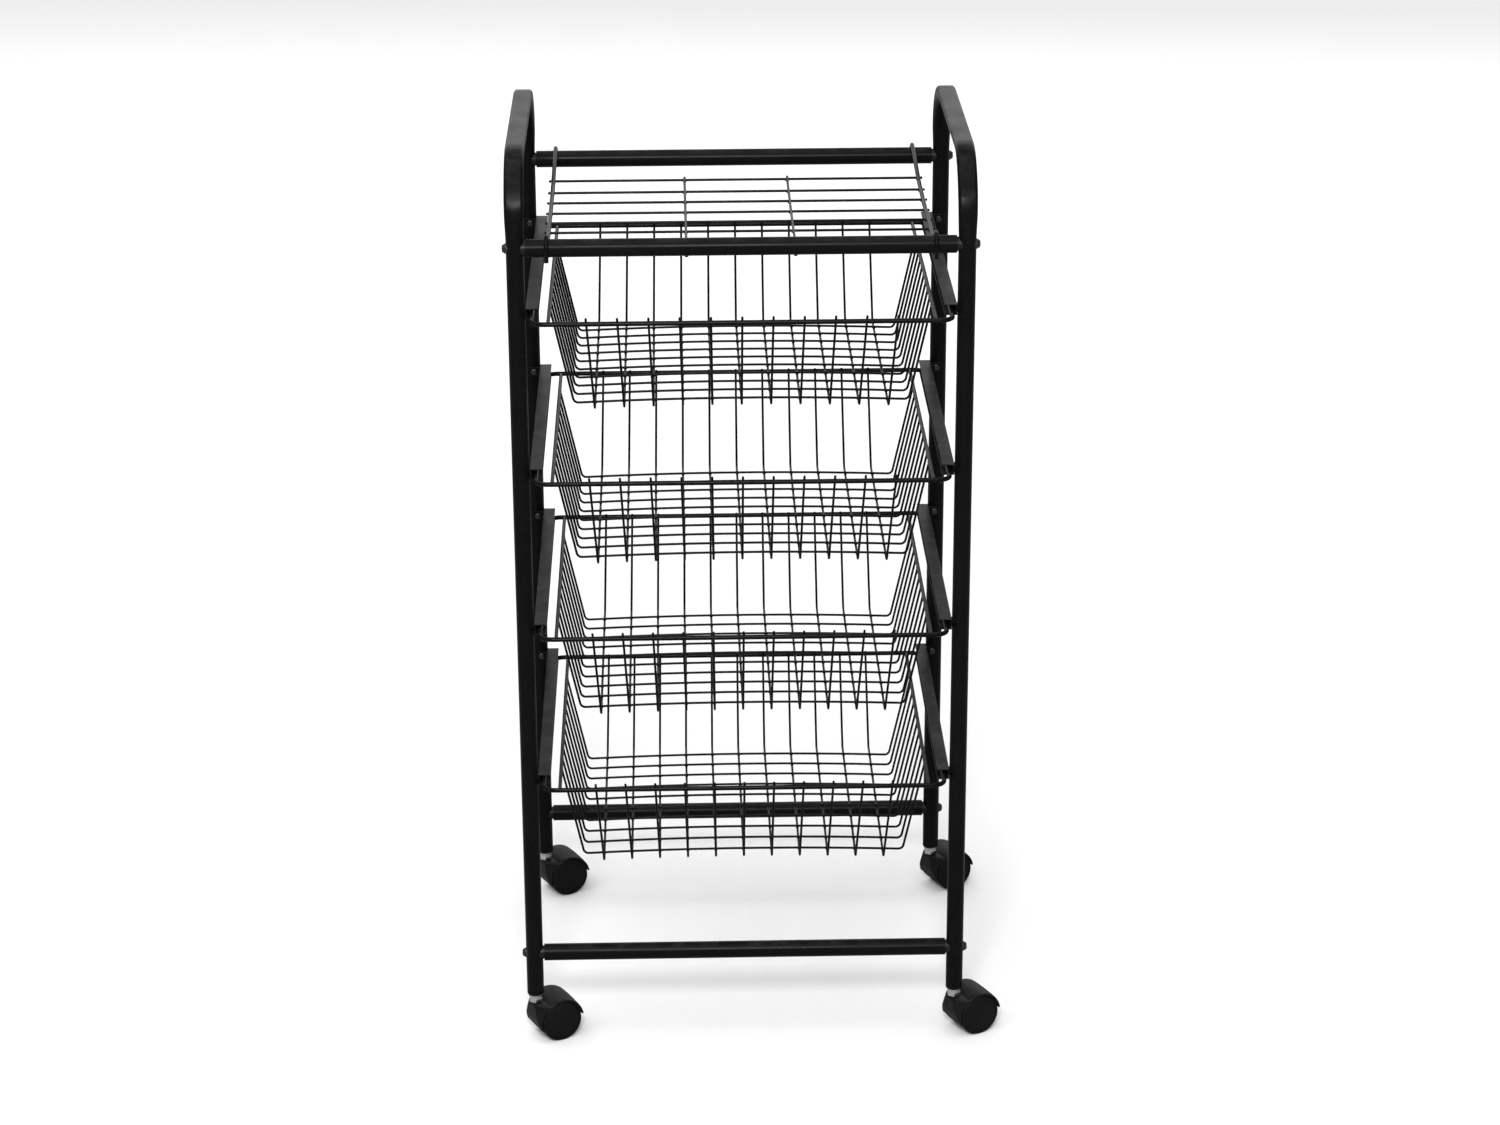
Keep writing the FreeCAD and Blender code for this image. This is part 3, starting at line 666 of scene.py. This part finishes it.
def hood_half_at(u, z, half):
    """Half width of the hood: narrow at the nose, most of all near its top."""
    rise = min(1.0, max(0.0, (z - NOSE_BOTTOM) / (NOSE_TOP - NOSE_BOTTOM)))
    nose = NOSE_HALF_BOTTOM + (NOSE_HALF_TOP - NOSE_HALF_BOTTOM) * rise ** 1.5
    full = FULL_WIDTH_LOW + (FULL_WIDTH_HIGH - FULL_WIDTH_LOW) * rise
    t = min(1.0, max(0.0, (u - NOSE_FACE) / (full - NOSE_FACE)))
    return nose + (half - nose) * math.sin(t * math.pi / 2) ** 0.9


def hood_shell(trail, axle_z, sizes):
    """The hood's skin: its side view extruded across, tapered to the nose and rounded."""
    bm = bmesh.new()
    outer = hood_outline(trail, axle_z, sizes.hood_radius)
    edges = chain(bm, [(u, -1.0, z) for u, z in outer])[1]
    grown = bmesh.ops.extrude_edge_only(bm, edges=edges)
    centre = Vector((trail, -1.0, axle_z))
    for vert in (g for g in grown["geom"] if isinstance(g, bmesh.types.BMVert)):
        vert.co = centre + (vert.co - centre).normalized() * sizes.hood_inner
    grown = bmesh.ops.extrude_face_region(bm, geom=bm.faces[:])
    moved = [g for g in grown["geom"] if isinstance(g, bmesh.types.BMVert)]
    bmesh.ops.translate(bm, vec=(0, 2.0, 0), verts=moved)
    across = [e for e in bm.edges if abs(e.verts[0].co.y - e.verts[1].co.y) > 1.0]
    bmesh.ops.subdivide_edges(bm, edges=across, cuts=7, use_grid_fill=True)
    for vert in bm.verts:
        side = vert.co.y
        away = Vector((vert.co.x - trail, 0, vert.co.z - axle_z))
        outer_skin = away.length > sizes.hood_inner + 0.3 * MM
        vert.co.y = side * hood_half_at(vert.co.x, vert.co.z, sizes.hood_half)
        if outer_skin and vert.co.z > SKIRT and vert.co.x > 0:
            vert.co -= away.normalized() * sizes.hood_half * CROWN_SHARE * side ** 2
    bmesh.ops.recalc_face_normals(bm, faces=bm.faces)
    rims = []
    for edge in bm.edges:
        if len(edge.link_faces) != 2 or not edge.is_manifold:
            continue
        mid = (edge.verts[0].co + edge.verts[1].co) / 2
        away = math.hypot(mid.x - trail, mid.z - axle_z)
        if edge.calc_face_angle() > math.radians(40) and away > sizes.hood_inner + 0.4 * MM:
            rims.append(edge)
    round_edges(bm, rims, sizes.hood_edge, 4, clamp=True)
    return bm


def build_hood(corner, sizes):
    trail, axle_z = caster_trail(corner)
    bm = hood_shell(trail, axle_z, sizes)
    web_half = sizes.wheel_inner - 0.4 * MM
    hub_flat = HUB_RADIUS - 0.6 * MM
    hub = bmesh.new()
    spin_profile(hub, [(trail, y, axle_z + up) for y, up in (
        (-web_half, 0), (-web_half, hub_flat), (-web_half + HUB_EDGE, HUB_RADIUS),
        (web_half - HUB_EDGE, HUB_RADIUS), (web_half, hub_flat), (web_half, 0),
    )], (0, 1, 0), 48, (trail, 0, axle_z))
    join_mesh(bm, hub)
    for long, tall, u, z in ((7.6, 16, 1.4, 28), (30, 8, 17.5, 34.5)):
        web = rounded_box((long * MM, 2 * web_half, tall * MM), (u * MM, 0, z * MM), HUB_EDGE)
        join_mesh(bm, web)
    boss = bmesh.new()
    spin_profile(boss, [
        (0, 0, 33 * MM), (4.4 * MM, 0, 33 * MM), (6.2 * MM, 0, 36 * MM), (5.7 * MM, 0, NOSE_TOP),
        (5.2 * MM, 0, NOSE_TOP + 0.3 * MM), (0, 0, NOSE_TOP + 0.3 * MM),
    ], (0, 0, 1), 40)
    join_mesh(bm, boss, Matrix.Translation((BOSS_SHIFT, 0, 0)))
    return make_piece(
        f"caster_{corner}_hood_moulding", bm, "hood_plastic", f"caster_{corner}",
        [f"caster_{corner}_hood"], place=caster_place(corner),
    )


def wheel_profile(sizes):
    """Half section of a wheel as (radius, distance from the caster's middle)."""
    r, near, far = sizes.wheel_radius, sizes.wheel_inner, sizes.wheel_outer
    edge = 1.6 * MM
    points = [
        (0, far - 0.4 * MM), (r - 3.2 * MM, far - 0.45 * MM), (r - 2.7 * MM, far - 0.75 * MM),
        (r - 2.35 * MM, far - 0.75 * MM), (r - 2.05 * MM, far - 0.1 * MM),
        (r - edge, far),
    ]
    for k in range(1, 6):
        a = math.radians(90 - 18 * k)
        points.append((r - edge + edge * math.cos(a), far - edge + edge * math.sin(a)))
    middle = (near + far) / 2
    points += [
        (r, middle + 0.5 * MM), (r - 0.22 * MM, middle + 0.2 * MM),
        (r - 0.22 * MM, middle - 0.2 * MM), (r, middle - 0.5 * MM),
    ]
    for k in range(0, 6):
        a = math.radians(-18 * k)
        points.append((r - edge + edge * math.cos(a), near + edge + edge * math.sin(a)))
    points += [
        (r - 4.5 * MM, near), (r - 5.0 * MM, near + 1.6 * MM), (7.4 * MM, near + 1.6 * MM),
        (7.0 * MM, near + 0.1 * MM), (0, near + 0.1 * MM),
    ]
    return points


def build_wheel(corner, side_name, side, sizes):
    trail, axle_z = caster_trail(corner)
    bm = bmesh.new()
    points = [(trail, side * v, axle_z + r) for r, v in wheel_profile(sizes)]
    spin_profile(bm, points, (0, 1, 0), 72, (trail, 0, axle_z))
    return make_piece(
        f"caster_{corner}_wheel_{side_name}_moulding", bm, "wheel_plastic",
        f"wheel_{corner}_{side_name}", [f"caster_{corner}_wheel_{side_name}"],
        sharp=math.radians(38), place=caster_place(corner),
    )


def build_stem(corner, sizes):
    """Hexagon, washer and shank of one caster's stem."""
    low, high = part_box(f"caster_{corner}_stem")
    middle = (low + high) / 2
    bm = bmesh.new()
    spin_profile(bm, [
        (0, 0, low.z), (STEM_RADIUS - 0.6 * MM, 0, low.z), (STEM_RADIUS, 0, low.z + 0.6 * MM),
        (STEM_RADIUS, 0, high.z - 0.8 * MM), (STEM_RADIUS - 0.8 * MM, 0, high.z), (0, 0, high.z),
    ], (0, 0, 1), 32)
    corner_r = sizes.nut_flats / 2 / math.cos(math.pi / 6)
    nut = rod(6, corner_r, corner_r, NUT_HEIGHT, 0.7 * MM, 3)
    join_mesh(bm, nut, Matrix.Translation((0, 0, NUT_LOW + NUT_HEIGHT / 2)))
    washer = rod(48, WASHER_RADIUS, WASHER_RADIUS, WASHER_THICK, 0.35 * MM, 2)
    join_mesh(bm, washer, Matrix.Translation((0, 0, WASHER_MIDDLE)))
    place = Matrix.Translation((middle.x, middle.y, 0))
    return make_piece(f"caster_{corner}_stem_plated", bm, "zinc", "frame",
                      [f"caster_{corner}_stem"], place=place)


# ------------------------------------------------------------------ fasteners

BOLT_HEIGHT = 5.2 * MM
BOLT_FLAT = 2.3 * MM       # radius of the flat on a bolt's head
SOCKET_DEPTH = 1.8 * MM
BOLT_SHANK = 2.4 * MM
SCREW_FLAT = 2.1 * MM
CROSS_REACH = 1.75 * MM
CROSS_DEPTH = 1.1 * MM
SCREW_SHANK = 1.6 * MM
SCREW_TIP = 1.1 * MM


def recess(bm, outline, depth, inset):
    """Sink a key recess into the flat top face of a turned head."""
    top = max((f for f in bm.faces if len(f.verts) > 8), key=lambda f: f.calc_center_median().z)
    bmesh.ops.inset_region(bm, faces=[top], thickness=inset, depth=0.0)
    for vert in top.verts:
        angle = math.atan2(vert.co.y, vert.co.x)
        reach = outline(angle)
        vert.co.x, vert.co.y = reach * math.cos(angle), reach * math.sin(angle)
    floor = bmesh.ops.extrude_discrete_faces(bm, faces=[top])["faces"][0]
    bmesh.ops.translate(bm, vec=(0, 0, -depth), verts=floor.verts[:])


def dome_head(radius, height, flat_r, steps, rings):
    """A domed head standing on z = 0 with a flat for the key on its top."""
    bm = bmesh.new()
    profile = [(radius, 0.0), (radius, height * 0.28)]
    for k in range(1, rings + 1):
        t = k / rings
        r = radius + (flat_r - radius) * t
        profile.append((r, height * (0.28 + 0.72 * math.sin(t * math.pi / 2) ** 0.9)))
    verts, edges = chain(bm, [(r, 0, z) for r, z in profile])
    bmesh.ops.spin(bm, geom=verts + edges, cent=(0, 0, 0), axis=(0, 0, 1), angle=TURN,
                   steps=steps, use_merge=True, use_duplicate=False)
    bmesh.ops.remove_doubles(bm, verts=bm.verts, dist=1e-8)
    bmesh.ops.holes_fill(bm, edges=[e for e in bm.edges if e.is_boundary], sides=steps)
    bmesh.ops.recalc_face_normals(bm, faces=bm.faces)
    return bm


def hexagon(flats):
    def outline(angle):
        part = (angle + TURN) % (math.pi / 3) - math.pi / 6
        return flats / 2 / math.cos(part)
    return outline


def cross_slot(reach):
    def outline(angle):
        lobe = abs(math.cos(2 * angle)) ** 5
        return reach * (0.30 + 0.70 * lobe)
    return outline


def aim(direction):
    """Rotation that turns +Z to a direction."""
    return Vector((0, 0, 1)).rotation_difference(Vector(direction)).to_matrix().to_4x4()


def build_bolts(sizes):
    """The eight dome bolts through the legs, each head hollowed for a hexagon key."""
    bm = bmesh.new()
    head = dome_head(sizes.bolt_head, BOLT_HEIGHT, BOLT_FLAT, 36, 7)
    recess(head, hexagon(sizes.bolt_socket), SOCKET_DEPTH, 0.25 * MM)
    for low, high in solid_boxes("cross_tube_bolts"):
        side = 1 if low.x + high.x > 0 else -1
        outer = high.x if side > 0 else low.x
        inner = low.x if side > 0 else high.x
        y, z = (low.y + high.y) / 2, (low.z + high.z) / 2
        turn = aim((side, 0, 0))
        add_mesh(bm, head, Matrix.Translation((outer - side * BOLT_HEIGHT, y, z)) @ turn)
        reach = abs(outer - inner) - BOLT_HEIGHT + 0.4 * MM
        shank = rod(24, BOLT_SHANK, BOLT_SHANK, reach, 0.3 * MM)
        join_mesh(bm, shank, Matrix.Translation((inner + side * reach / 2, y, z)) @ turn)
    head.free()
    return make_piece("cross_tube_dome_bolts", bm, "bolt_black", "frame", ["cross_tube_bolts"])


def build_screws(sizes):
    """The sixteen pan-head screws that hold the runners to the legs."""
    bm = bmesh.new()
    head = dome_head(sizes.screw_head, sizes.screw_height, SCREW_FLAT, 32, 5)
    recess(head, cross_slot(CROSS_REACH), CROSS_DEPTH, 0.2 * MM)
    for low, high in solid_boxes("runner_screws"):
        facing = -1 if low.y + high.y > 0 else 1
        outer = high.y if facing > 0 else low.y
        inner = low.y if facing > 0 else high.y
        x, z = (low.x + high.x) / 2, (low.z + high.z) / 2
        turn = aim((0, facing, 0))
        place = Matrix.Translation((x, outer - facing * sizes.screw_height, z)) @ turn
        add_mesh(bm, head, place)
        reach = abs(outer - inner) - sizes.screw_height + 0.3 * MM
        shank = rod(20, SCREW_SHANK, SCREW_TIP, reach)
        middle = inner + facing * reach / 2
        join_mesh(bm, shank, Matrix.Translation((x, middle, z)) @ aim((0, -facing, 0)))
    head.free()
    return make_piece("runner_pan_screws", bm, "screw_steel", "frame", ["runner_screws"])


# ----------------------------------------------------------- baskets and shelf

FLOOR_EDGE_X = 151.4 * MM  # where the basket's floor turns up into its sides
FLOOR_DEPTH = 90.3 * MM    # floor wire below the rim's centre line at that edge
FLOOR_CROWN = 3.0 * MM
FLOOR_FRONT = -138.5 * MM  # ends of the long wires' floor run, from the basket's origin
FLOOR_REAR = 120.0 * MM
RIM_FRONT = -179.0 * MM
RIM_REAR = 145.0 * MM
LONG_PAIRS = 5
PITCH_FRONT = 27.6 * MM
PITCH_FLOOR = 26.5 * MM
PITCH_REAR = 26.0 * MM
TIP_FRONT = 4.2 * MM
TIP_REAR = 3.2 * MM
SHELF_SIDE_RADIUS = 2.0 * MM


def basket_origin(k, sizes):
    """The point at rim height from which the basket's own wires are measured."""
    low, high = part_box(f"basket_{k}_rim")
    return Vector((0, high.y - sizes.rim - RIM_REAR, (low.z + high.z) / 2))


def floor_height(x):
    radius = (FLOOR_EDGE_X ** 2 + FLOOR_CROWN ** 2) / (2 * FLOOR_CROWN)
    return -FLOOR_DEPTH + FLOOR_CROWN - radius + math.sqrt(radius ** 2 - x ** 2)


def weld_blob(spread, height):
    """A low-sided bead, wide in the plane of the wires and shallow across it."""
    bm = bmesh.new()
    bmesh.ops.create_uvsphere(bm, u_segments=8, v_segments=5, radius=1.0)
    bmesh.ops.scale(bm, vec=(spread, spread, height), verts=bm.verts)
    return bm


def wire_cap(radius):
    """The rounded, slightly uneven end of a cut wire, its flat side on z = 0."""
    bm = bmesh.new()
    bmesh.ops.create_uvsphere(bm, u_segments=12, v_segments=8, radius=radius)
    cut = bmesh.ops.bisect_plane(bm, geom=bm.verts[:] + bm.edges[:] + bm.faces[:],
                                 plane_co=(0, 0, -0.2 * radius), plane_no=(0, 0, 1),
                                 clear_inner=True)
    rim = [e for e in cut["geom_cut"] if isinstance(e, bmesh.types.BMEdge)]
    bmesh.ops.holes_fill(bm, edges=rim, sides=12)
    bmesh.ops.scale(bm, vec=(1, 1, 0.6), verts=bm.verts)
    return bm


def long_wire_lines(k, sizes):
    """(floor corner, point at rim height, rim's Y, tip height) at each end of a long wire."""
    x = k * PITCH_FLOOR
    z = floor_height(x) - 2 * sizes.wire
    reach = sizes.rim + sizes.wire
    for y, rim_y, pitch, tip in (
        (FLOOR_FRONT, RIM_FRONT, PITCH_FRONT, TIP_FRONT),
        (FLOOR_REAR, RIM_REAR, PITCH_REAR, TIP_REAR),
    ):
        slant = math.atan2(abs(rim_y - y), -z)
        level_y = rim_y - math.copysign(reach / math.cos(slant), rim_y)
        yield Vector((x, y, z)), Vector((k * pitch, level_y, 0)), rim_y, tip


def build_basket_welds(k, sizes):
    """Weld beads where the wires cross, and rounded ends on the standing wires."""
    origin = basket_origin(k, sizes)
    floor_bead = weld_blob(sizes.weld, sizes.wire * 0.95)
    rim_bead = weld_blob(sizes.weld * 1.15, sizes.wire * 1.25)
    cap = wire_cap(sizes.wire * 0.995)
    across = Matrix.Rotation(math.pi / 2, 4, "X")
    bm = bmesh.new()
    rows = sorted((low.y + high.y) / 2 for low, high in solid_boxes(f"basket_{k}_cross_wires"))
    rail_low, rail_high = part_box(f"basket_{k}_side_rails")
    rail_x = rail_high.x - sizes.rail
    for column in range(-LONG_PAIRS, LONG_PAIRS + 1):
        x = column * PITCH_FLOOR
        for y in rows:
            spot = Vector((x, y, origin.z + floor_height(x) - sizes.wire))
            add_mesh(bm, floor_bead, Matrix.Translation(spot))
        for corner, level, rim_y, tip in long_wire_lines(column, sizes):
            slope = (level - corner).normalized()
            end = level + slope * (tip / slope.z)
            add_mesh(bm, cap, Matrix.Translation(origin + end) @ aim(slope))
            share_of_way = sizes.rim / (sizes.rim + sizes.wire)
            touch = Vector((level.x, rim_y + (level.y - rim_y) * share_of_way, 0))
            add_mesh(bm, rim_bead, Matrix.Translation(origin + touch) @ across)
    for side in (-1, 1):
        for y in rows:
            spot = Vector((side * rail_x, y, origin.z - sizes.rail * 0.9))
            add_mesh(bm, rim_bead, Matrix.Translation(spot))
        for y in (rail_low.y, rail_high.y):
            spot = Vector((side * rail_x, y, (rail_low.z + rail_high.z) / 2))
            add_mesh(bm, rim_bead, Matrix.Translation(spot) @ across)
    for scratch in (floor_bead, rim_bead, cap):
        scratch.free()
    return make_piece(f"basket_{k}_welds_and_tips", bm, "wire_coat", f"basket_{k}",
                      sharp=math.radians(70))


def build_shelf_welds(sizes):
    """Weld beads and rounded bar ends of the wire shelf."""
    side_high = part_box("shelf_side_wires")[1]
    middle_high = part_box("shelf_middle_wires")[1]
    bead = weld_blob(sizes.weld * 1.1, sizes.shelf_bar * 1.1)
    cap = wire_cap(sizes.shelf_bar * 0.995)
    bm = bmesh.new()
    side_x = side_high.x - SHELF_SIDE_RADIUS
    middle_x = middle_high.x - sizes.shelf_bar
    for low, high in solid_boxes("shelf_cross_bars"):
        y, z = (low.y + high.y) / 2, (low.z + high.z) / 2
        for x in (-side_x, -middle_x, middle_x, side_x):
            add_mesh(bm, bead, Matrix.Translation((x, y, z - sizes.shelf_bar)))
        for end, side in ((high, 1), (low, -1)):
            add_mesh(bm, cap, Matrix.Translation((end.x, y, z)) @ aim((side, 0, 0)))
    bead.free()
    cap.free()
    return make_piece("shelf_welds_and_tips", bm, "shelf_coat", "top_shelf",
                      sharp=math.radians(70))


# ---------------------------------------------------------------------- stage

BACK_PANEL = ((0.3, 3.6, 2.1), (0, 0, 0.5), (5.0, 2.6))  # place, target, size
FRONT_PANEL = ((-0.2, -3.0, 2.4), (0, 0, 0.85), (0.8, 0.6))
OVERHEAD_SPREAD = 70       # degrees across
OVERHEAD_LEAN = (12, -14)  # degrees about X and Y
ROOM_SEEN = 0.95           # brightness of the room where it is looked at directly


def build_floor(stage):
    """A pale floor, darker to the light it gives back to the cart than to the eye."""
    bm = bmesh.new()
    bmesh.ops.create_grid(bm, x_segments=8, y_segments=8, size=stage.floor_half)
    mesh = bpy.data.meshes.new("studio_floor")
    bm.to_mesh(mesh)
    bm.free()
    material, tree, shader, vector = start_material("studio_floor_pale")
    mottle = noise_node(tree, vector, 5.0, 4.0)
    pale = mix_colour(tree, mottle, lighter(stage.floor_colour, 0.98), stage.floor_colour)
    seen = tree.nodes.new("ShaderNodeLightPath")
    pale = mix_colour(tree, seen.outputs["Is Camera Ray"],
                      lighter(stage.floor_colour, stage.floor_bounce), pale)
    tree.links.new(pale, shader.inputs["Base Color"])
    shader.inputs["Roughness"].default_value = 0.9
    shader.inputs["Specular IOR Level"].default_value = 0.1
    bump_into(tree, shader, noise_node(tree, vector, 180.0, 3.0), 0.0002)
    mesh.materials.append(material)
    add_object("studio_floor", mesh)


def build_panel(name, place, target, size, power):
    light = bpy.data.lights.new(name, "AREA")
    light.shape = "RECTANGLE"
    light.size, light.size_y = size
    light.energy = power
    panel = add_object(name, light)
    panel.location = place
    aim_at = Vector(target) - Vector(place)
    panel.rotation_euler = aim_at.to_track_quat("-Z", "Y").to_euler()
    panel.visible_camera = False


def build_overhead(strength):
    """One wide, even light from above and a little to the left and front."""
    light = bpy.data.lights.new("overhead", "SUN")
    light.energy = strength
    light.angle = math.radians(OVERHEAD_SPREAD)
    lamp = add_object("overhead", light)
    lamp.rotation_euler = (*map(math.radians, OVERHEAD_LEAN), 0)


def build_surround(strength):
    """A pale room: dim as a light, bright where it is looked at directly."""
    world = bpy.data.worlds.new("pale_room")
    world.use_nodes = True
    tree = world.node_tree
    background = next(n for n in tree.nodes if n.type == "BACKGROUND")
    background.inputs["Color"].default_value = (1.0, 1.0, 1.0, 1.0)
    seen = tree.nodes.new("ShaderNodeLightPath")
    level = tree.nodes.new("ShaderNodeMapRange")
    level.inputs["To Min"].default_value = strength
    level.inputs["To Max"].default_value = ROOM_SEEN
    tree.links.new(seen.outputs["Is Camera Ray"], level.inputs["Value"])
    tree.links.new(level.outputs["Result"], background.inputs["Strength"])
    bpy.context.scene.world = world


def build_camera(stage):
    data = bpy.data.cameras.new("cart_camera")
    data.sensor_width = 36.0
    data.lens = stage.lens
    data.clip_end = 60.0
    pitch, yaw, roll = stage.camera_pitch, stage.camera_yaw, stage.camera_roll
    ahead = Vector((math.sin(yaw) * math.cos(pitch), math.cos(yaw) * math.cos(pitch),
                    -math.sin(pitch)))
    level = Vector((math.cos(yaw), -math.sin(yaw), 0))
    above = level.cross(ahead)
    right = level * math.cos(roll) + above * math.sin(roll)
    up = above * math.cos(roll) - level * math.sin(roll)
    turn = Matrix((right, up, -ahead)).transposed().to_4x4()
    camera = add_object("cart_camera", data)
    camera.matrix_world = Matrix.Translation(stage.camera_place) @ turn
    bpy.context.scene.camera = camera
    bpy.context.scene.view_settings.view_transform = "Standard"


# ------------------------------------------------------------------ operators

class CartStep:
    """What every operator of the cart does: build its pieces and finish."""

    def execute(self, context):
        self.build(context.scene)
        return {"FINISHED"}


class CART_OT_finishes(CartStep, bpy.types.Operator):
    """Make the cart's coats, plastics and metals"""
    bl_idname = "cart.finishes"
    bl_label = "Finishes"

    def build(self, scene):
        build_materials(scene)


class CART_OT_tube_frame(CartStep, bpy.types.Operator):
    """Coat the side frames and cross tubes"""
    bl_idname = "cart.tube_frame"
    bl_label = "Tube frame"

    def build(self, scene):
        names = [n for n in NODES if n.startswith("side_frame")]
        names += [f"cross_tube_{level}_{end}" for level in ("top", "bottom")
                  for end in ("front", "rear")]
        coat_nodes(names, "tube_coat")


class CART_OT_plugs(CartStep, bpy.types.Operator):
    """Finish the plugs in the cross tubes and the inserts in the legs"""
    bl_idname = "cart.plugs"
    bl_label = "Plugs and inserts"

    def build(self, scene):
        coat_nodes(["cross_tube_end_plugs", "leg_end_inserts"], "plug_plastic")


class CART_OT_bolts(CartStep, bpy.types.Operator):
    """Model the dome bolts that hold the cross tubes"""
    bl_idname = "cart.bolts"
    bl_label = "Dome bolts"

    def build(self, scene):
        build_bolts(scene.cart_fastener)


class CART_OT_runners(CartStep, bpy.types.Operator):
    """Coat the basket runners and model their screws"""
    bl_idname = "cart.runners"
    bl_label = "Runners"

    def build(self, scene):
        coat_nodes([f"runner_{k}_{side}" for k in BASKETS for side in ("left", "right")],
                   "runner_coat")
        build_screws(scene.cart_fastener)


class CART_OT_baskets(CartStep, bpy.types.Operator):
    """Coat the wire baskets and model their welds and wire ends"""
    bl_idname = "cart.baskets"
    bl_label = "Baskets"

    def build(self, scene):
        for k in BASKETS:
            coat_nodes([f"basket_{k}_rim"], "rim_coat")
            coat_nodes([f"basket_{k}_{part}" for part in
                        ("side_rails", "cross_wires", "long_wires")], "wire_coat")
            build_basket_welds(k, scene.cart_wire)


class CART_OT_shelf(CartStep, bpy.types.Operator):
    """Coat the wire shelf and model its welds and bar ends"""
    bl_idname = "cart.shelf"
    bl_label = "Shelf"

    def build(self, scene):
        coat_nodes(["shelf_side_wires", "shelf_cross_bars", "shelf_middle_wires"], "shelf_coat")
        build_shelf_welds(scene.cart_wire)


class CART_OT_stems(CartStep, bpy.types.Operator):
    """Model the plated stems of the casters"""
    bl_idname = "cart.stems"
    bl_label = "Caster stems"

    def build(self, scene):
        for corner in CORNERS:
            build_stem(corner, scene.cart_caster)


class CART_OT_hoods(CartStep, bpy.types.Operator):
    """Model the hoods of the casters and finish their axles"""
    bl_idname = "cart.hoods"
    bl_label = "Caster hoods"

    def build(self, scene):
        for corner in CORNERS:
            build_hood(corner, scene.cart_caster)
            coat_nodes([f"caster_{corner}_axle"], "axle_steel")


class CART_OT_wheels(CartStep, bpy.types.Operator):
    """Model the eight wheels"""
    bl_idname = "cart.wheels"
    bl_label = "Wheels"

    def build(self, scene):
        for corner in CORNERS:
            for side_name in ("near", "far"):
                low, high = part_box(f"caster_{corner}_wheel_{side_name}")
                middle = caster_place(corner).inverted() @ ((low + high) / 2)
                side = 1 if middle.y > 0 else -1
                build_wheel(corner, side_name, side, scene.cart_caster)


class CART_OT_stage(CartStep, bpy.types.Operator):
    """Set up the floor, the soft light and the camera"""
    bl_idname = "cart.stage"
    bl_label = "Stage"

    def build(self, scene):
        stage = scene.cart_stage
        build_floor(stage)
        build_surround(stage.surround)
        build_panel("back_panel", *BACK_PANEL, stage.back_panel)
        build_panel("front_panel", *FRONT_PANEL, stage.front_panel)
        build_overhead(stage.overhead)
        build_camera(stage)


OPERATORS = (
    CART_OT_finishes, CART_OT_tube_frame, CART_OT_plugs, CART_OT_bolts, CART_OT_runners,
    CART_OT_baskets, CART_OT_shelf, CART_OT_stems, CART_OT_hoods, CART_OT_wheels, CART_OT_stage,
)


class CART_PT_panel(bpy.types.Panel):
    """The cart's pieces, one button each"""
    bl_idname = "CART_PT_panel"
    bl_label = "Wire shelf cart"
    bl_space_type = "VIEW_3D"
    bl_region_type = "UI"
    bl_category = "Cart"

    def draw(self, context):
        for operator in OPERATORS:
            self.layout.operator(operator.bl_idname)
        for name, group in SETTINGS.items():
            box = self.layout.box()
            for key in group.__annotations__:
                box.prop(getattr(context.scene, name), key)


def register():
    for name, group in SETTINGS.items():
        bpy.utils.register_class(group)
        setattr(bpy.types.Scene, name, PointerProperty(type=group))
    for made in OPERATORS + (CART_PT_panel,):
        bpy.utils.register_class(made)


def unregister():
    for made in reversed(OPERATORS + (CART_PT_panel,)):
        bpy.utils.unregister_class(made)
    for name, group in SETTINGS.items():
        delattr(bpy.types.Scene, name)
        bpy.utils.unregister_class(group)


def main():
    register()
    for operator in OPERATORS:
        section, name = operator.bl_idname.split(".")
        getattr(getattr(bpy.ops, section), name)()


if __name__ == "__main__":
    main()
